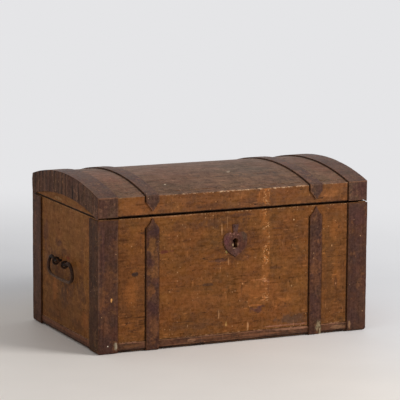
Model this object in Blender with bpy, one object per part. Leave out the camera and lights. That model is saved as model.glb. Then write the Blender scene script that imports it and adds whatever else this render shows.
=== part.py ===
"""An iron-bound storage chest with a shallow domed lid, as a set of separate pieces.

Metres, +Z up, front towards -Y, standing on the floor at Z = 0. The pieces are modelled about
the middle of the wooden case, and one empty moves them all so that the origin lies under the
middle of the whole chest. GAP parts pieces that would touch, and OVERCUT is how far a cutter
runs past what it cuts.
"""

import math

import bmesh
import bpy
from mathutils import Matrix, Vector

# The chest over its irons, and the stock that it is made from
WIDTH = 0.600
DEPTH = 0.362
RIM_HEIGHT = 0.272
BOARD = 0.018
FLOOR_BOARD = 0.018
IRON = 0.0025
GAP = 0.0003
ARRIS = 0.0012
OVERCUT = 0.018

# The wooden case inside the irons
HALF_X = WIDTH / 2 - IRON - GAP
HALF_Y = DEPTH / 2 - IRON - GAP
FLOOR_LOW = IRON + GAP
WALL_LOW = FLOOR_LOW + FLOOR_BOARD + GAP
FRONT_RIM_DROP = 0.0016
FRONT_RIM = RIM_HEIGHT - FRONT_RIM_DROP
TAILS = 5
TAIL_GAP_HALF = 0.006
TAIL_SLOPE = math.tan(math.radians(10))

# The domed lid
LID_SEAM = 0.0012
RAIL_RAISE = 0.0012
LID_SIDE = 0.0396
LID_RISE = 0.024
LID_LOW = RIM_HEIGHT + LID_SEAM
RAIL_LOW = LID_LOW + RAIL_RAISE
LID_ARRIS = LID_LOW + LID_SIDE
LID_RADIUS = (HALF_Y**2 + LID_RISE**2) / (2 * LID_RISE)
LID_CENTRE = LID_ARRIS + LID_RISE - LID_RADIUS
STAVE = 0.013
STAVES = 5
DOME_STEPS = 16
STAVE_STEPS = 4

# The irons: corner angles, lid edge angles and the two straps. A point's shape is given by
# shares of the strap's half width and of the point's height.
FACE_LEG = 0.0435
SIDE_LEG = 0.047
FOOT_LENGTH = 0.032
IRON_END_GAP = 0.0005
FOLD = 0.006
FOLD_STEPS = 4
STRAP_FROM_END = 0.118
STRAP_X = WIDTH / 2 - STRAP_FROM_END
STRAP_WIDTH = 0.028
STRAP_TIP = 0.022
STRAP_TIP_GAP = 0.002
STRAP_FOOT = 0.045
POINT_SHAPE = ((0.86, 0.22), (0.42, 0.52), (0.22, 0.80), (0.08, 1.0))
LID_TIP_RAISE = 0.0091
LID_TIP_LOW = RAIL_LOW + LID_TIP_RAISE
LID_TIP = 0.017
FLANGE_RISE = 0.0205
FLANGE_CORNER = 0.011
FLANGE_HALF = DEPTH / 2 - FLANGE_CORNER
FLANGE_TABS = 14
FLANGE_LAP = 0.0007

# The strap hinges
BARREL_RADIUS = 0.005
BARREL_SIDES = 16
BARREL_STAND = 0.0002
HINGE_PIN_RADIUS = 0.0023
HINGE_PIN_CLEAR = 0.0001
HINGE_PIN_HEAD = 0.0036
HINGE_PIN_HEAD_THICKNESS = 0.00125
KNUCKLE_GAP = 0.0004
HINGE_Y = HALF_Y + GAP + BARREL_RADIUS + BARREL_STAND
HINGE_Z = RIM_HEIGHT + LID_SEAM / 2

# The carrying handles, with half of the bail's centre line as (y, z) from its pivot
HANDLE_DROP = 0.116
HANDLE_Z = RIM_HEIGHT - HANDLE_DROP
HANDLE_STAND = 0.0115
HANDLE_ROD = 0.0037
EYE_SPACING = 0.048
EYE_RING = 0.0066
EYE_WIRE = 0.0023
EYE_SHANK = 0.0044
EYE_SIDES = 16
EYE_WIRE_SIDES = 8
CLENCH_LENGTH = 0.024
CLENCH_WIDTH = 0.0035
CLENCH_THICKNESS = 0.002
BAIL_HALF = (
    (0.014, 0.0),
    (0.024, 0.0),
    (0.033, 0.0015),
    (0.041, 0.005),
    (0.049, 0.0055),
    (0.057, 0.001),
    (0.0635, -0.007),
    (0.066, -0.016),
    (0.0635, -0.0245),
    (0.055, -0.0305),
    (0.042, -0.0328),
    (0.022, -0.0335),
    (0.0, -0.0337),
)
BAIL_STEPS = 3

# The staple on the lid's hasp plate, which the bolt of the lock passes through
STAPLE_HALF = 0.003
STAPLE_WALL = 0.002
STAPLE_FOOT = 0.003
STAPLE_CLEAR = 0.0015
STAPLE_ABOVE = 0.003
SHELF_RAISE = 0.0087
SHELF_THICKNESS = 0.0024
HASP_HALF = 0.020
HASP_LOW_GAP = 0.001
HASP_HEIGHT = 0.026
HASP_NAIL_X = 0.014
HASP_NAIL_RAISE = 0.0156

# The lock inside the front board, and the works under its cover
LOCK_DROP = 0.0044
LOCK_PLATE = 0.002
LOCK_PLATE_HALF = 0.058
LOCK_PLATE_HEIGHT = 0.084
LOCK_PLATE_TOP = FRONT_RIM - LOCK_DROP
LOCK_PLATE_LOW = LOCK_PLATE_TOP - LOCK_PLATE_HEIGHT
LOCK_SHEET = 0.0018
COVER_INSET_X = 0.009
COVER_INSET_Z = 0.005
COVER_HALF = LOCK_PLATE_HALF - COVER_INSET_X
COVER_LOW = LOCK_PLATE_LOW + COVER_INSET_Z
COVER_TOP = LOCK_PLATE_TOP - COVER_INSET_Z
COVER_DEPTH = 0.023
BOLT_DROP = 0.035
BOLT_LOW = LOCK_PLATE_TOP - BOLT_DROP
BOLT_HEIGHT = 0.012
BOLT_THICKNESS = 0.005
BOLT_DRAWN = 0.002
BOLT_TAIL_ROOM = 0.0032
BOLT_END = -STAPLE_HALF - BOLT_DRAWN
BOLT_TAIL = -COVER_HALF + LOCK_SHEET + BOLT_TAIL_ROOM
BOLT_STAND = 0.0092
KEEPER_THICKNESS = 0.004
KEEPER_WALL = 0.003
KEEPERS_FROM_END = (0.026, 0.0075)
TALON_DEPTH = 0.0042
TALON_WIDTH = 0.005
TALON_FROM_END = 0.003
STUB_RADIUS = 0.0022
STUB_RISE = 0.0095
STUB_SIDES = 12
SPRING_THICKNESS = 0.0012
SPRING_WIDTH = 0.005
SPRING_HALF_END = 0.003
SPRING_HALF_REST = 0.0035
SPRING_FROM_END = 0.014

# The keyhole, round above with a foot below, and the heart-shaped plate around it. The heart's
# side draws in as one less a power of the way down, and a greater power makes it fuller.
KEY_FROM_TOP = 0.0563
KEY_Z = LOCK_PLATE_TOP - KEY_FROM_TOP
KEY_RADIUS = 0.0055
KEY_NECK_HALF = 0.003
KEY_FOOT_HALF = 0.0042
KEY_DEPTH = 0.0137
KEY_ROUND_START = -50
KEY_ROUND_STEPS = 10
PLATE = 0.0012
HEART_HALF = 0.027
HEART_ABOVE_KEY = 0.0183
HEART_BELOW_KEY = 0.0332
HEART_TOP = KEY_Z + HEART_ABOVE_KEY
HEART_TIP = KEY_Z - HEART_BELOW_KEY
HEART_POWER = 2.7
HEART_LOBE_START = 105
HEART_LOBE_STEPS = 7
HEART_SIDE_STEPS = 5
STEM_LENGTH = 0.016
STEM_TOP = HEART_TOP + STEM_LENGTH
STEM_TOP_HALF = 0.0072
STEM_LOW_HALF = 0.005
STEM_SINK = 0.0025

# The nails that hold the lock parts
NAIL_SHANK = 0.0013
NAIL_HEAD = 0.0028
NAIL_CROWN = 0.0015
NAIL_DOME = 0.0008
NAIL_BITE = 0.009
NAIL_SIDES = 10
STEM_NAIL_DROP = 0.005
LOBE_NAIL_X = 0.0178
LOBE_NAIL_DROP = 0.0135
TIP_NAIL_RAISE = 0.009

INNER_FRONT = -HALF_Y + BOARD
BACK_MOST = HINGE_Y + BARREL_RADIUS
SHIFT_Y = (DEPTH / 2 - BACK_MOST) / 2


def clear_scene():
    for obj in list(bpy.data.objects):
        bpy.data.objects.remove(obj, do_unlink=True)


def finish(name, colour, roughness, metallic=0.0):
    """A plain Principled material."""
    made = bpy.data.materials.new(name)
    made.use_nodes = True
    shader = made.node_tree.nodes["Principled BSDF"]
    shader.inputs["Base Color"].default_value = (*colour, 1)
    shader.inputs["Roughness"].default_value = roughness
    shader.inputs["Metallic"].default_value = metallic
    return made


def axis_empty(name, place, parent=None):
    """An empty that carries the pieces moving about one point; place is in the case's frame."""
    empty = bpy.data.objects.new(name, None)
    bpy.context.scene.collection.objects.link(empty)
    empty.parent = parent
    empty["case_place"] = place
    base = Vector(parent["case_place"]) if parent else Vector((0, 0, 0))
    empty.location = Vector(place) - base
    return empty


def add_piece(name, shape, look, parent, origin=None):
    """Makes an object of a bmesh drawn in the case's frame. Its origin is its middle unless given."""
    bmesh.ops.recalc_face_normals(shape, faces=shape.faces[:])
    low = Vector([min(v.co[i] for v in shape.verts) for i in range(3)])
    high = Vector([max(v.co[i] for v in shape.verts) for i in range(3)])
    origin = Vector(origin) if origin is not None else (low + high) / 2
    bmesh.ops.translate(shape, verts=shape.verts, vec=-origin)
    mesh = bpy.data.meshes.new(name)
    shape.to_mesh(mesh)
    shape.free()
    mesh.materials.append(look)
    obj = bpy.data.objects.new(name, mesh)
    bpy.context.scene.collection.objects.link(obj)
    obj.parent = parent
    obj.location = origin - Vector(parent["case_place"])
    return obj


def add_helper(name, shape, parent):
    """A cutter or a joining shape, which is no piece of the chest."""
    obj = add_piece(name, shape, finish("helper", (1, 0, 0), 0.5), parent)
    obj.hide_render = True
    obj.display_type = "WIRE"
    return obj


def combine(target, helper, operation="DIFFERENCE"):
    modifier = target.modifiers.new(helper.name, "BOOLEAN")
    modifier.operation = operation
    modifier.solver = "EXACT"
    modifier.object = helper


def ease_edges(obj, width=ARRIS, segments=1):
    """Rounds the arrises of a piece a little."""
    modifier = obj.modifiers.new("eased", "BEVEL")
    modifier.width = width
    modifier.segments = segments
    modifier.limit_method = "ANGLE"
    modifier.angle_limit = math.radians(50)


def smooth_round(obj):
    obj.data.shade_smooth()
    obj.data.set_sharp_from_angle(angle=math.radians(35))


PLACING = {
    "X": lambda u, v, w: (w, u, v),
    "Y": lambda u, v, w: (u, w, v),
    "Z": lambda u, v, w: (u, v, w),
}


def add_prism(shape, outline, axis, start, end):
    """Extrudes a flat outline along an axis. On X the outline is (y, z), on Y (x, z), on Z (x, y)."""
    place = PLACING[axis]
    corners = [shape.verts.new(place(u, v, start)) for u, v in outline]
    face = shape.faces.new(corners)
    pushed = bmesh.ops.extrude_face_region(shape, geom=[face])
    moved = [item for item in pushed["geom"] if isinstance(item, bmesh.types.BMVert)]
    bmesh.ops.translate(shape, verts=moved, vec=Vector(place(0, 0, end - start)))


def prism(outline, axis, start, end):
    shape = bmesh.new()
    add_prism(shape, outline, axis, start, end)
    return shape


def box(low, high):
    outline = [(low[0], low[1]), (high[0], low[1]), (high[0], high[1]), (low[0], high[1])]
    return prism(outline, "Z", low[2], high[2])


def add_rod(shape, axis, centre, radius, length, sides):
    """A cylinder along an axis, with a flat of its polygon square to the next axis."""
    turn = {
        "X": Matrix.Rotation(math.radians(90), 4, "Y"),
        "Y": Matrix.Rotation(math.radians(90), 4, "X"),
        "Z": Matrix.Identity(4),
    }[axis]
    flat = Matrix.Rotation(math.pi / sides, 4, "Z")
    bmesh.ops.create_cone(
        shape,
        cap_ends=True,
        segments=sides,
        radius1=radius,
        radius2=radius,
        depth=length,
        matrix=Matrix.Translation(centre) @ turn @ flat,
    )


def rod(axis, centre, radius, length, sides):
    shape = bmesh.new()
    add_rod(shape, axis, centre, radius, length, sides)
    return shape


def arc_points(centre, radius, start, end, steps):
    """Points on an arc in degrees, both ends included."""
    angles = [math.radians(start + (end - start) * i / steps) for i in range(steps + 1)]
    return [(centre[0] + radius * math.cos(a), centre[1] + radius * math.sin(a)) for a in angles]


def dome(y, out=0.0):
    """Height of the lid's round at y, on a surface that lies out from the wood."""
    return LID_CENTRE + math.sqrt((LID_RADIUS + out) ** 2 - y**2)


def dome_line(y_from, y_to, out=0.0, steps=DOME_STEPS):
    ys = [y_from + (y_to - y_from) * i / steps for i in range(steps + 1)]
    return [(y, dome(y, out)) for y in ys]


def dovetail_lines(low, high, clear):
    """(middle, half width at the root, half width at the end) of each tail between two heights."""
    pitch = (high - low) / TAILS
    end_half = pitch / 2 - TAIL_GAP_HALF + clear
    root_half = end_half - BOARD * TAIL_SLOPE
    return [(low + (i + 0.5) * pitch, root_half, end_half) for i in range(TAILS)]


def tailed_board(top):
    """Outline (x, z) of a front or back board, with dovetails at both ends."""
    root = HALF_X - BOARD
    tails = dovetail_lines(WALL_LOW, FRONT_RIM, 0.0)
    right = []
    for middle, root_half, end_half in tails:
        right += [
            (root, middle - root_half),
            (HALF_X, middle - end_half),
            (HALF_X, middle + end_half),
            (root, middle + root_half),
        ]
    left = [(-x, z) for x, z in reversed(right)]
    return [(-root, WALL_LOW), (root, WALL_LOW)] + right + [(root, top), (-root, top)] + left


def tail_sockets(side):
    """The room that the tails need in an end board, at its front and back ends."""
    shape = bmesh.new()
    root = HALF_X - BOARD - GAP
    beyond = HALF_X + OVERCUT
    for middle, root_half, end_half in dovetail_lines(WALL_LOW, FRONT_RIM, GAP):
        far_half = end_half + OVERCUT * TAIL_SLOPE
        outline = [
            (side * root, middle - root_half),
            (side * beyond, middle - far_half),
            (side * beyond, middle + far_half),
            (side * root, middle + root_half),
        ]
        for sign in (-1, 1):
            add_prism(shape, outline, "Y", sign * (HALF_Y - BOARD - GAP), sign * (HALF_Y + OVERCUT))
    return shape


def build_case(chest, wood, bare_wood):
    floor = add_piece(
        "bottom_board",
        box((-HALF_X, -HALF_Y, FLOOR_LOW), (HALF_X, HALF_Y, FLOOR_LOW + FLOOR_BOARD)),
        bare_wood,
        chest,
    )
    ease_edges(floor)
    front = add_piece(
        "front_board", prism(tailed_board(FRONT_RIM), "Y", -HALF_Y, INNER_FRONT), wood, chest
    )
    add_piece("back_board", prism(tailed_board(RIM_HEIGHT), "Y", HALF_Y - BOARD, HALF_Y), wood, chest)
    ends = {}
    for name, side in (("left", -1), ("right", 1)):
        low_x, high_x = sorted((side * (HALF_X - BOARD), side * HALF_X))
        end = add_piece(
            f"{name}_end_board",
            box((low_x, -HALF_Y, WALL_LOW), (high_x, HALF_Y, RIM_HEIGHT)),
            wood,
            chest,
        )
        combine(end, add_helper(f"{name}_tail_sockets", tail_sockets(side), chest))
        ends[side] = end
    return front, ends


def strap_outline(half, low, tip, top):
    """Outline (x, z) of a strap that ends at the top in a hollow-sided point."""
    shoulder = top - tip
    left = [(-half, low), (-half, shoulder)]
    left += [(-wide * half, shoulder + high * tip) for wide, high in POINT_SHAPE]
    return left + [(-x, z) for x, z in reversed(left)]


def folded_leaf(face_y, low_end, top, foot):
    """Outline (y, z) of a strap down one face and folded under the floor board.

    face_y is the wood's face, with its sign, and the foot runs inwards from there."""
    sign = 1 if face_y > 0 else -1
    inner = face_y + sign * GAP
    outer = face_y + sign * (GAP + IRON)
    turn = [math.radians(90 * step / FOLD_STEPS) for step in range(FOLD_STEPS + 1)]
    bend = [
        (outer - sign * FOLD * (1 - math.cos(a)), low_end + FOLD * (1 - math.sin(a))) for a in turn
    ]
    return [(inner, top), (outer, top)] + bend + [
        (face_y - sign * foot, low_end),
        (face_y - sign * foot, low_end + IRON),
        (inner, low_end + IRON),
    ]


def build_front_straps(chest, iron):
    for name, side in (("left", -1), ("right", 1)):
        middle = side * STRAP_X
        top = FRONT_RIM - STRAP_TIP_GAP
        strap = add_piece(
            f"front_strap_{name}",
            prism(
                folded_leaf(-HALF_Y, 0.0, top, STRAP_FOOT),
                "X",
                middle - STRAP_WIDTH / 2,
                middle + STRAP_WIDTH / 2,
            ),
            iron,
            chest,
        )
        outline = strap_outline(STRAP_WIDTH / 2 + GAP, -OVERCUT, STRAP_TIP, top + GAP)
        outline = [(x + middle, z) for x, z in outline]
        pointed = prism(outline, "Y", -HALF_Y - OVERCUT, -HALF_Y + STRAP_FOOT + OVERCUT)
        combine(strap, add_helper(f"strap_point_{name}", pointed, chest), "INTERSECT")


def corner_outline(side_x, side_y):
    """Outline (x, y) of a corner angle, its legs along the face and the end of the case."""
    face, end = FACE_LEG, SIDE_LEG
    near_x, far_x = HALF_X + GAP, HALF_X + GAP + IRON
    near_y, far_y = HALF_Y + GAP, HALF_Y + GAP + IRON
    points = [
        (far_x, far_y),
        (far_x, far_y - end),
        (near_x, far_y - end),
        (near_x, near_y),
        (far_x - face, near_y),
        (far_x - face, far_y),
    ]
    return [(side_x * x, side_y * y) for x, y in points]


def folded_envelope():
    """The room inside the irons' outer faces, with the bend of their feet rounded off."""
    shape = box((-WIDTH / 2, -DEPTH / 2, 0.0), (WIDTH / 2, DEPTH / 2, RIM_HEIGHT + OVERCUT))
    low = [edge for edge in shape.edges if all(vert.co.z == 0.0 for vert in edge.verts)]
    bmesh.ops.bevel(shape, geom=low, offset=FOLD, segments=FOLD_STEPS, profile=0.5, affect="EDGES")
    return shape


def build_corner_irons(chest, iron):
    envelope = add_helper("folded_envelope", folded_envelope(), chest)
    for face_name, side_y in (("front", -1), ("back", 1)):
        top = (FRONT_RIM if side_y < 0 else RIM_HEIGHT) - IRON_END_GAP
        for end_name, side_x in (("left", -1), ("right", 1)):
            angle = add_piece(
                f"corner_iron_{face_name}_{end_name}",
                prism(corner_outline(side_x, side_y), "Z", 0.0, top),
                iron,
                chest,
            )
            far_x, far_y = HALF_X + GAP + IRON, HALF_Y + GAP + IRON
            xs = sorted((side_x * (far_x - FACE_LEG), side_x * (far_x - IRON / 2)))
            ys = sorted((side_y * (far_y - FOOT_LENGTH), side_y * (far_y - IRON / 2)))
            foot = box((xs[0], ys[0], 0.0), (xs[1], ys[1], IRON))
            combine(angle, add_helper(f"foot_{face_name}_{end_name}", foot, chest), "UNION")
            combine(angle, envelope, "INTERSECT")


def wrapped_band(front_low, back_low):
    """Outline (y, z) of an iron band that runs up the front rail, over the dome and down the back."""
    near, far = HALF_Y + GAP, HALF_Y + GAP + IRON
    inner = dome_line(-near, near, GAP)
    outer = dome_line(-far + IRON / 2, far - IRON / 2, GAP + IRON)
    shoulder = dome(far, GAP + IRON) - IRON / 2
    front = [(-near, front_low), (-far, front_low), (-far, shoulder)]
    back = [(far, shoulder), (far, back_low), (near, back_low)]
    return front + outer + back + inner[::-1]


def knuckle_spans():
    """The x ranges of the three knuckles across a strap, from its middle."""
    third = STRAP_WIDTH / 3
    return [
        (-STRAP_WIDTH / 2, -third / 2 - KNUCKLE_GAP / 2),
        (-third / 2 + KNUCKLE_GAP / 2, third / 2 - KNUCKLE_GAP / 2),
        (third / 2 + KNUCKLE_GAP / 2, STRAP_WIDTH / 2),
    ]


def knuckle(span, middle):
    """One knuckle's barrel, without its bore."""
    centre = (middle + (span[0] + span[1]) / 2, HINGE_Y, HINGE_Z)
    return rod("X", centre, BARREL_RADIUS, span[1] - span[0], BARREL_SIDES)


def tongue(span, middle, low, high):
    """The part of a strap that runs into one knuckle."""
    near = HALF_Y + GAP
    return box((middle + span[0], near, low), (middle + span[1], near + IRON, high))


def build_hinges(chest, lid, iron):
    """The two bands that hold the lid: one over it, one down the back, and the pin between them."""
    spans = knuckle_spans()
    clear = BARREL_RADIUS + KNUCKLE_GAP
    lap = IRON
    bore_radius = HINGE_PIN_RADIUS + HINGE_PIN_CLEAR
    for name, side in (("left", -1), ("right", 1)):
        middle = side * STRAP_X
        low_x, high_x = middle - STRAP_WIDTH / 2, middle + STRAP_WIDTH / 2
        axis = (middle, HINGE_Y, HINGE_Z)
        bore = rod("X", axis, bore_radius, STRAP_WIDTH + OVERCUT, BARREL_SIDES)
        bore = add_helper(f"hinge_bore_{name}", bore, chest)

        over = add_piece(
            f"lid_strap_{name}",
            prism(wrapped_band(LID_TIP_LOW, HINGE_Z + clear), "X", low_x, high_x),
            iron,
            lid,
            axis,
        )
        eye = knuckle(spans[1], middle)
        leaf = tongue(spans[1], middle, HINGE_Z, HINGE_Z + clear + lap)
        combine(over, add_helper(f"lid_tongue_{name}", leaf, lid), "UNION")
        combine(over, add_helper(f"lid_knuckle_{name}", eye, lid), "UNION")
        combine(over, bore)
        point = bmesh.new()
        for sign in (-1, 1):
            outline = [
                (middle + sign * STRAP_WIDTH, LID_TIP_LOW - LID_TIP),
                (middle + sign * STRAP_WIDTH, LID_TIP_LOW + LID_TIP),
                (middle + sign * STRAP_WIDTH / 2, LID_TIP_LOW + LID_TIP),
                (middle + sign * IRON / 2, LID_TIP_LOW),
                (middle + sign * IRON / 2, LID_TIP_LOW - LID_TIP),
            ]
            add_prism(point, outline, "Y", -HALF_Y - OVERCUT, -HALF_Y + OVERCUT)
        combine(over, add_helper(f"lid_point_{name}", point, lid))

        down = add_piece(
            f"hinge_strap_{name}",
            prism(folded_leaf(HALF_Y, 0.0, HINGE_Z - clear, STRAP_FOOT), "X", low_x, high_x),
            iron,
            chest,
        )
        for number, span in enumerate((spans[0], spans[2]), 1):
            leaf = tongue(span, middle, HINGE_Z - clear - lap, HINGE_Z)
            combine(down, add_helper(f"back_tongue_{name}_{number}", leaf, chest), "UNION")
            eye = add_helper(f"back_knuckle_{name}_{number}", knuckle(span, middle), chest)
            combine(down, eye, "UNION")
        combine(down, bore)

        head_x = STRAP_WIDTH / 2 + GAP + HINGE_PIN_HEAD_THICKNESS / 2
        pin = rod("X", axis, HINGE_PIN_RADIUS, 2 * head_x, BARREL_SIDES)
        for sign in (-1, 1):
            head = (middle + sign * head_x, HINGE_Y, HINGE_Z)
            add_rod(pin, "X", head, HINGE_PIN_HEAD, HINGE_PIN_HEAD_THICKNESS, BARREL_SIDES)
        pin = add_piece(f"hinge_pin_{name}", join_solids(pin), iron, chest)
        smooth_round(pin)


def join_solids(shape):
    """Joins the overlapping solids of one bmesh, through a throwaway object."""
    mesh = bpy.data.meshes.new("joining")
    bmesh.ops.recalc_face_normals(shape, faces=shape.faces[:])
    shape.to_mesh(mesh)
    shape.free()
    obj = bpy.data.objects.new("joining", mesh)
    bpy.context.scene.collection.objects.link(obj)
    tip = bpy.data.objects.new("nothing", bpy.data.meshes.new("nothing"))
    bpy.context.scene.collection.objects.link(tip)
    modifier = obj.modifiers.new("join", "BOOLEAN")
    modifier.operation = "UNION"
    modifier.use_self = True
    modifier.object = tip
    graph = bpy.context.evaluated_depsgraph_get()
    joined = bmesh.new()
    joined.from_object(obj, graph)
    bpy.data.objects.remove(obj, do_unlink=True)
    bpy.data.objects.remove(tip, do_unlink=True)
    return joined


def build_lid_boards(lid, wood):
    rails = (("front", -1, RAIL_LOW), ("back", 1, LID_LOW))
    for name, sign, low in rails:
        outer, inner = sign * HALF_Y, sign * (HALF_Y - BOARD)
        outline = [(inner, low), (outer, low)] + dome_line(outer, inner, steps=STAVE_STEPS)
        add_piece(f"lid_{name}_rail", prism(outline, "X", -HALF_X, HALF_X), wood, lid)
    reach = HALF_Y - BOARD - GAP
    for name, side in (("left", -1), ("right", 1)):
        outline = [(reach, LID_LOW), (-reach, LID_LOW)] + dome_line(-reach, reach, -STAVE - GAP)
        xs = sorted((side * HALF_X, side * (HALF_X - BOARD)))
        add_piece(f"lid_{name}_end", prism(outline, "X", *xs), wood, lid)
    edges = [-reach + 2 * reach * i / STAVES for i in range(STAVES + 1)]
    lean = (LID_RADIUS - STAVE) / LID_RADIUS
    for i in range(STAVES):
        low_y = edges[i] + (GAP / 2 if i else 0)
        high_y = edges[i + 1] - (GAP / 2 if i < STAVES - 1 else 0)
        inner_low = low_y * lean if i else low_y
        inner_high = high_y * lean if i < STAVES - 1 else high_y
        outline = dome_line(low_y, high_y, steps=STAVE_STEPS)
        outline += dome_line(inner_high, inner_low, -STAVE, steps=STAVE_STEPS)
        add_piece(f"lid_stave_{i + 1}", prism(outline, "X", -HALF_X, HALF_X), wood, lid)


def flange_low(y):
    """Height of the lower edge of the iron folded down over the lid's end."""
    bulge = max(0.0, 1 - (y / FLANGE_HALF) ** 2)
    return LID_LOW + IRON_END_GAP + FLANGE_RISE * bulge


def flange(side):
    """The folded-down edge of a lid iron: lapped tabs that let it follow the dome."""
    near = HALF_X + GAP
    reach = HALF_Y + GAP + IRON / 2
    shape = bmesh.new()
    stations = []
    for i in range(FLANGE_TABS + 1):
        y = -reach + 2 * reach * i / FLANGE_TABS
        ends = (flange_low(y), dome(min(abs(y), HALF_Y), GAP + IRON / 2))
        depths = (near, near + IRON - FLANGE_LAP, near + IRON + FLANGE_LAP)
        stations.append([[shape.verts.new((side * x, y, z)) for z in ends] for x in depths])
    for i, (here, after) in enumerate(zip(stations, stations[1:])):
        (wall, start, _), (next_wall, next_start, end) = here, after
        last = i == FLANGE_TABS - 1
        for k in (0, 1):
            lap = [] if last else [next_start[k]]
            shape.faces.new([wall[k], start[k], end[k]] + lap + [next_wall[k]])
        for near_pair, far_pair in ((wall, next_wall), (start, end)):
            shape.faces.new((near_pair[0], far_pair[0], far_pair[1], near_pair[1]))
        if not last:
            shape.faces.new((end[0], next_start[0], next_start[1], end[1]))
    for inner, outer in ((stations[0][0], stations[0][1]), (stations[-1][0], stations[-1][2])):
        shape.faces.new((inner[0], outer[0], outer[1], inner[1]))
    loose = [vert for vert in shape.verts if not vert.link_faces]
    bmesh.ops.delete(shape, geom=loose, context="VERTS")
    return shape


def build_lid_edge_irons(lid, iron):
    for name, side in (("left", -1), ("right", 1)):
        far = HALF_X + GAP + IRON
        xs = sorted((side * far, side * (far - FACE_LEG)))
        outline = wrapped_band(RAIL_LOW + IRON_END_GAP, LID_LOW + IRON_END_GAP)
        band = add_piece(f"lid_edge_iron_{name}", prism(outline, "X", *xs), iron, lid)
        combine(band, add_helper(f"lid_flange_{name}", flange(side), lid), "UNION")


def bail_points():
    """The bail's whole centre line: its half mirrored, and one smooth curve through the points."""
    half = [Vector((y, z)) for y, z in BAIL_HALF]
    whole = [Vector((-p.x, p.y)) for p in half[:-1]] + half[::-1]
    line = [whole[0]]
    for i in range(1, len(whole)):
        before, a, b, after = (whole[max(0, min(len(whole) - 1, i + k))] for k in (-2, -1, 0, 1))
        for step in range(1, BAIL_STEPS + 1):
            t = step / BAIL_STEPS
            point = (
                (2 * a)
                + (b - before) * t
                + (2 * before - 5 * a + 4 * b - after) * t**2
                + (3 * a - before - 3 * b + after) * t**3
            ) / 2
            line.append(point)
    return line


def build_handle(name, side, chest, end_board, iron):
    pivot_x = side * (HALF_X + HANDLE_STAND)
    pivot = axis_empty(f"{name}_handle_axis", (pivot_x, 0, HANDLE_Z), chest)
    curve = bpy.data.curves.new(f"{name}_handle", "CURVE")
    curve.dimensions = "3D"
    curve.bevel_depth = HANDLE_ROD
    curve.bevel_resolution = 3
    curve.use_fill_caps = True
    line = bail_points()
    spline = curve.splines.new("POLY")
    spline.points.add(len(line) - 1)
    for point, at in zip(spline.points, line):
        point.co = (0, at.x, at.y, 1)
    curve.materials.append(iron)
    bail = bpy.data.objects.new(f"{name}_handle", curve)
    bpy.context.scene.collection.objects.link(bail)
    bail.parent = pivot

    inner_face = side * (HALF_X - BOARD)
    for end_name, sign in (("front", -1), ("back", 1)):
        y = sign * EYE_SPACING / 2
        bpy.ops.mesh.primitive_torus_add(
            major_segments=EYE_SIDES,
            minor_segments=EYE_WIRE_SIDES,
            major_radius=EYE_RING,
            minor_radius=EYE_WIRE,
        )
        ring = bpy.context.object
        ring.name = f"{name}_handle_eye_{end_name}"
        ring.data.name = ring.name
        ring.data.transform(Matrix.Rotation(math.radians(90), 4, "X"))
        ring.data.materials.append(iron)
        ring.parent = chest
        ring.location = Vector((pivot_x, y, HANDLE_Z))
        smooth_round(ring)
        half = EYE_SHANK / 2
        tail = inner_face - side * (GAP + CLENCH_THICKNESS / 2)
        xs = sorted((side * (HALF_X + HANDLE_STAND - EYE_RING), tail))
        shank = box((xs[0], y - half, HANDLE_Z - half), (xs[1], y + half, HANDLE_Z + half))
        combine(ring, add_helper(f"{ring.name}_shank", shank, chest), "UNION")
        xs = sorted((inner_face - side * GAP, inner_face - side * (GAP + CLENCH_THICKNESS)))
        wide, reach = CLENCH_WIDTH / 2, CLENCH_LENGTH / 2
        clench = box((xs[0], y - wide, HANDLE_Z - reach), (xs[1], y + wide, HANDLE_Z + reach))
        combine(ring, add_helper(f"{ring.name}_clench", clench, chest), "UNION")
        room = half + GAP
        xs = sorted((side * (HALF_X - BOARD - OVERCUT), side * (HALF_X + OVERCUT)))
        hole = box((xs[0], y - room, HANDLE_Z - room), (xs[1], y + room, HANDLE_Z + room))
        combine(end_board, add_helper(f"{ring.name}_hole", hole, chest))


def nail(x, z, face, into):
    """A nail on the front board, its head's underside at face, driven along into (+1 or -1) in y."""
    seat = face - into * GAP
    shape = bmesh.new()
    middle = Vector((x, seat + into * NAIL_BITE / 2, z))
    add_rod(shape, "Y", middle, NAIL_SHANK, NAIL_BITE + GAP, NAIL_SIDES)
    turn = Matrix.Rotation(math.radians(90) * -into, 4, "X")
    bmesh.ops.create_cone(
        shape,
        cap_ends=True,
        segments=NAIL_SIDES,
        radius1=NAIL_HEAD,
        radius2=NAIL_CROWN,
        depth=NAIL_DOME,
        matrix=Matrix.Translation((x, seat - into * NAIL_DOME / 2, z)) @ turn.inverted(),
    )
    return join_solids(shape)


def nail_holes(places, face, into):
    """Blind holes for nails driven at face, as one cutter."""
    shape = bmesh.new()
    before, beyond = face - into * OVERCUT, face + into * (NAIL_BITE + GAP)
    for x, z in places:
        centre = (x, (before + beyond) / 2, z)
        add_rod(shape, "Y", centre, NAIL_SHANK + GAP, abs(beyond - before), NAIL_SIDES)
    return shape


def heart_outline():
    """The key plate: a full heart with a point below and a flared stem above."""
    lobe = HEART_HALF / 2
    lobe_z = HEART_TOP - lobe
    right = [(STEM_TOP_HALF, STEM_TOP), (STEM_LOW_HALF, HEART_TOP - STEM_SINK)]
    right += arc_points((lobe, lobe_z), lobe, HEART_LOBE_START, 0, HEART_LOBE_STEPS)
    for step in range(1, HEART_SIDE_STEPS + 1):
        down = step / (HEART_SIDE_STEPS + 1)
        right.append((HEART_HALF * (1 - down**HEART_POWER), lobe_z - down * (lobe_z - HEART_TIP)))
    return right + [(0.0, HEART_TIP)] + [(-x, z) for x, z in reversed(right)]


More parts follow.
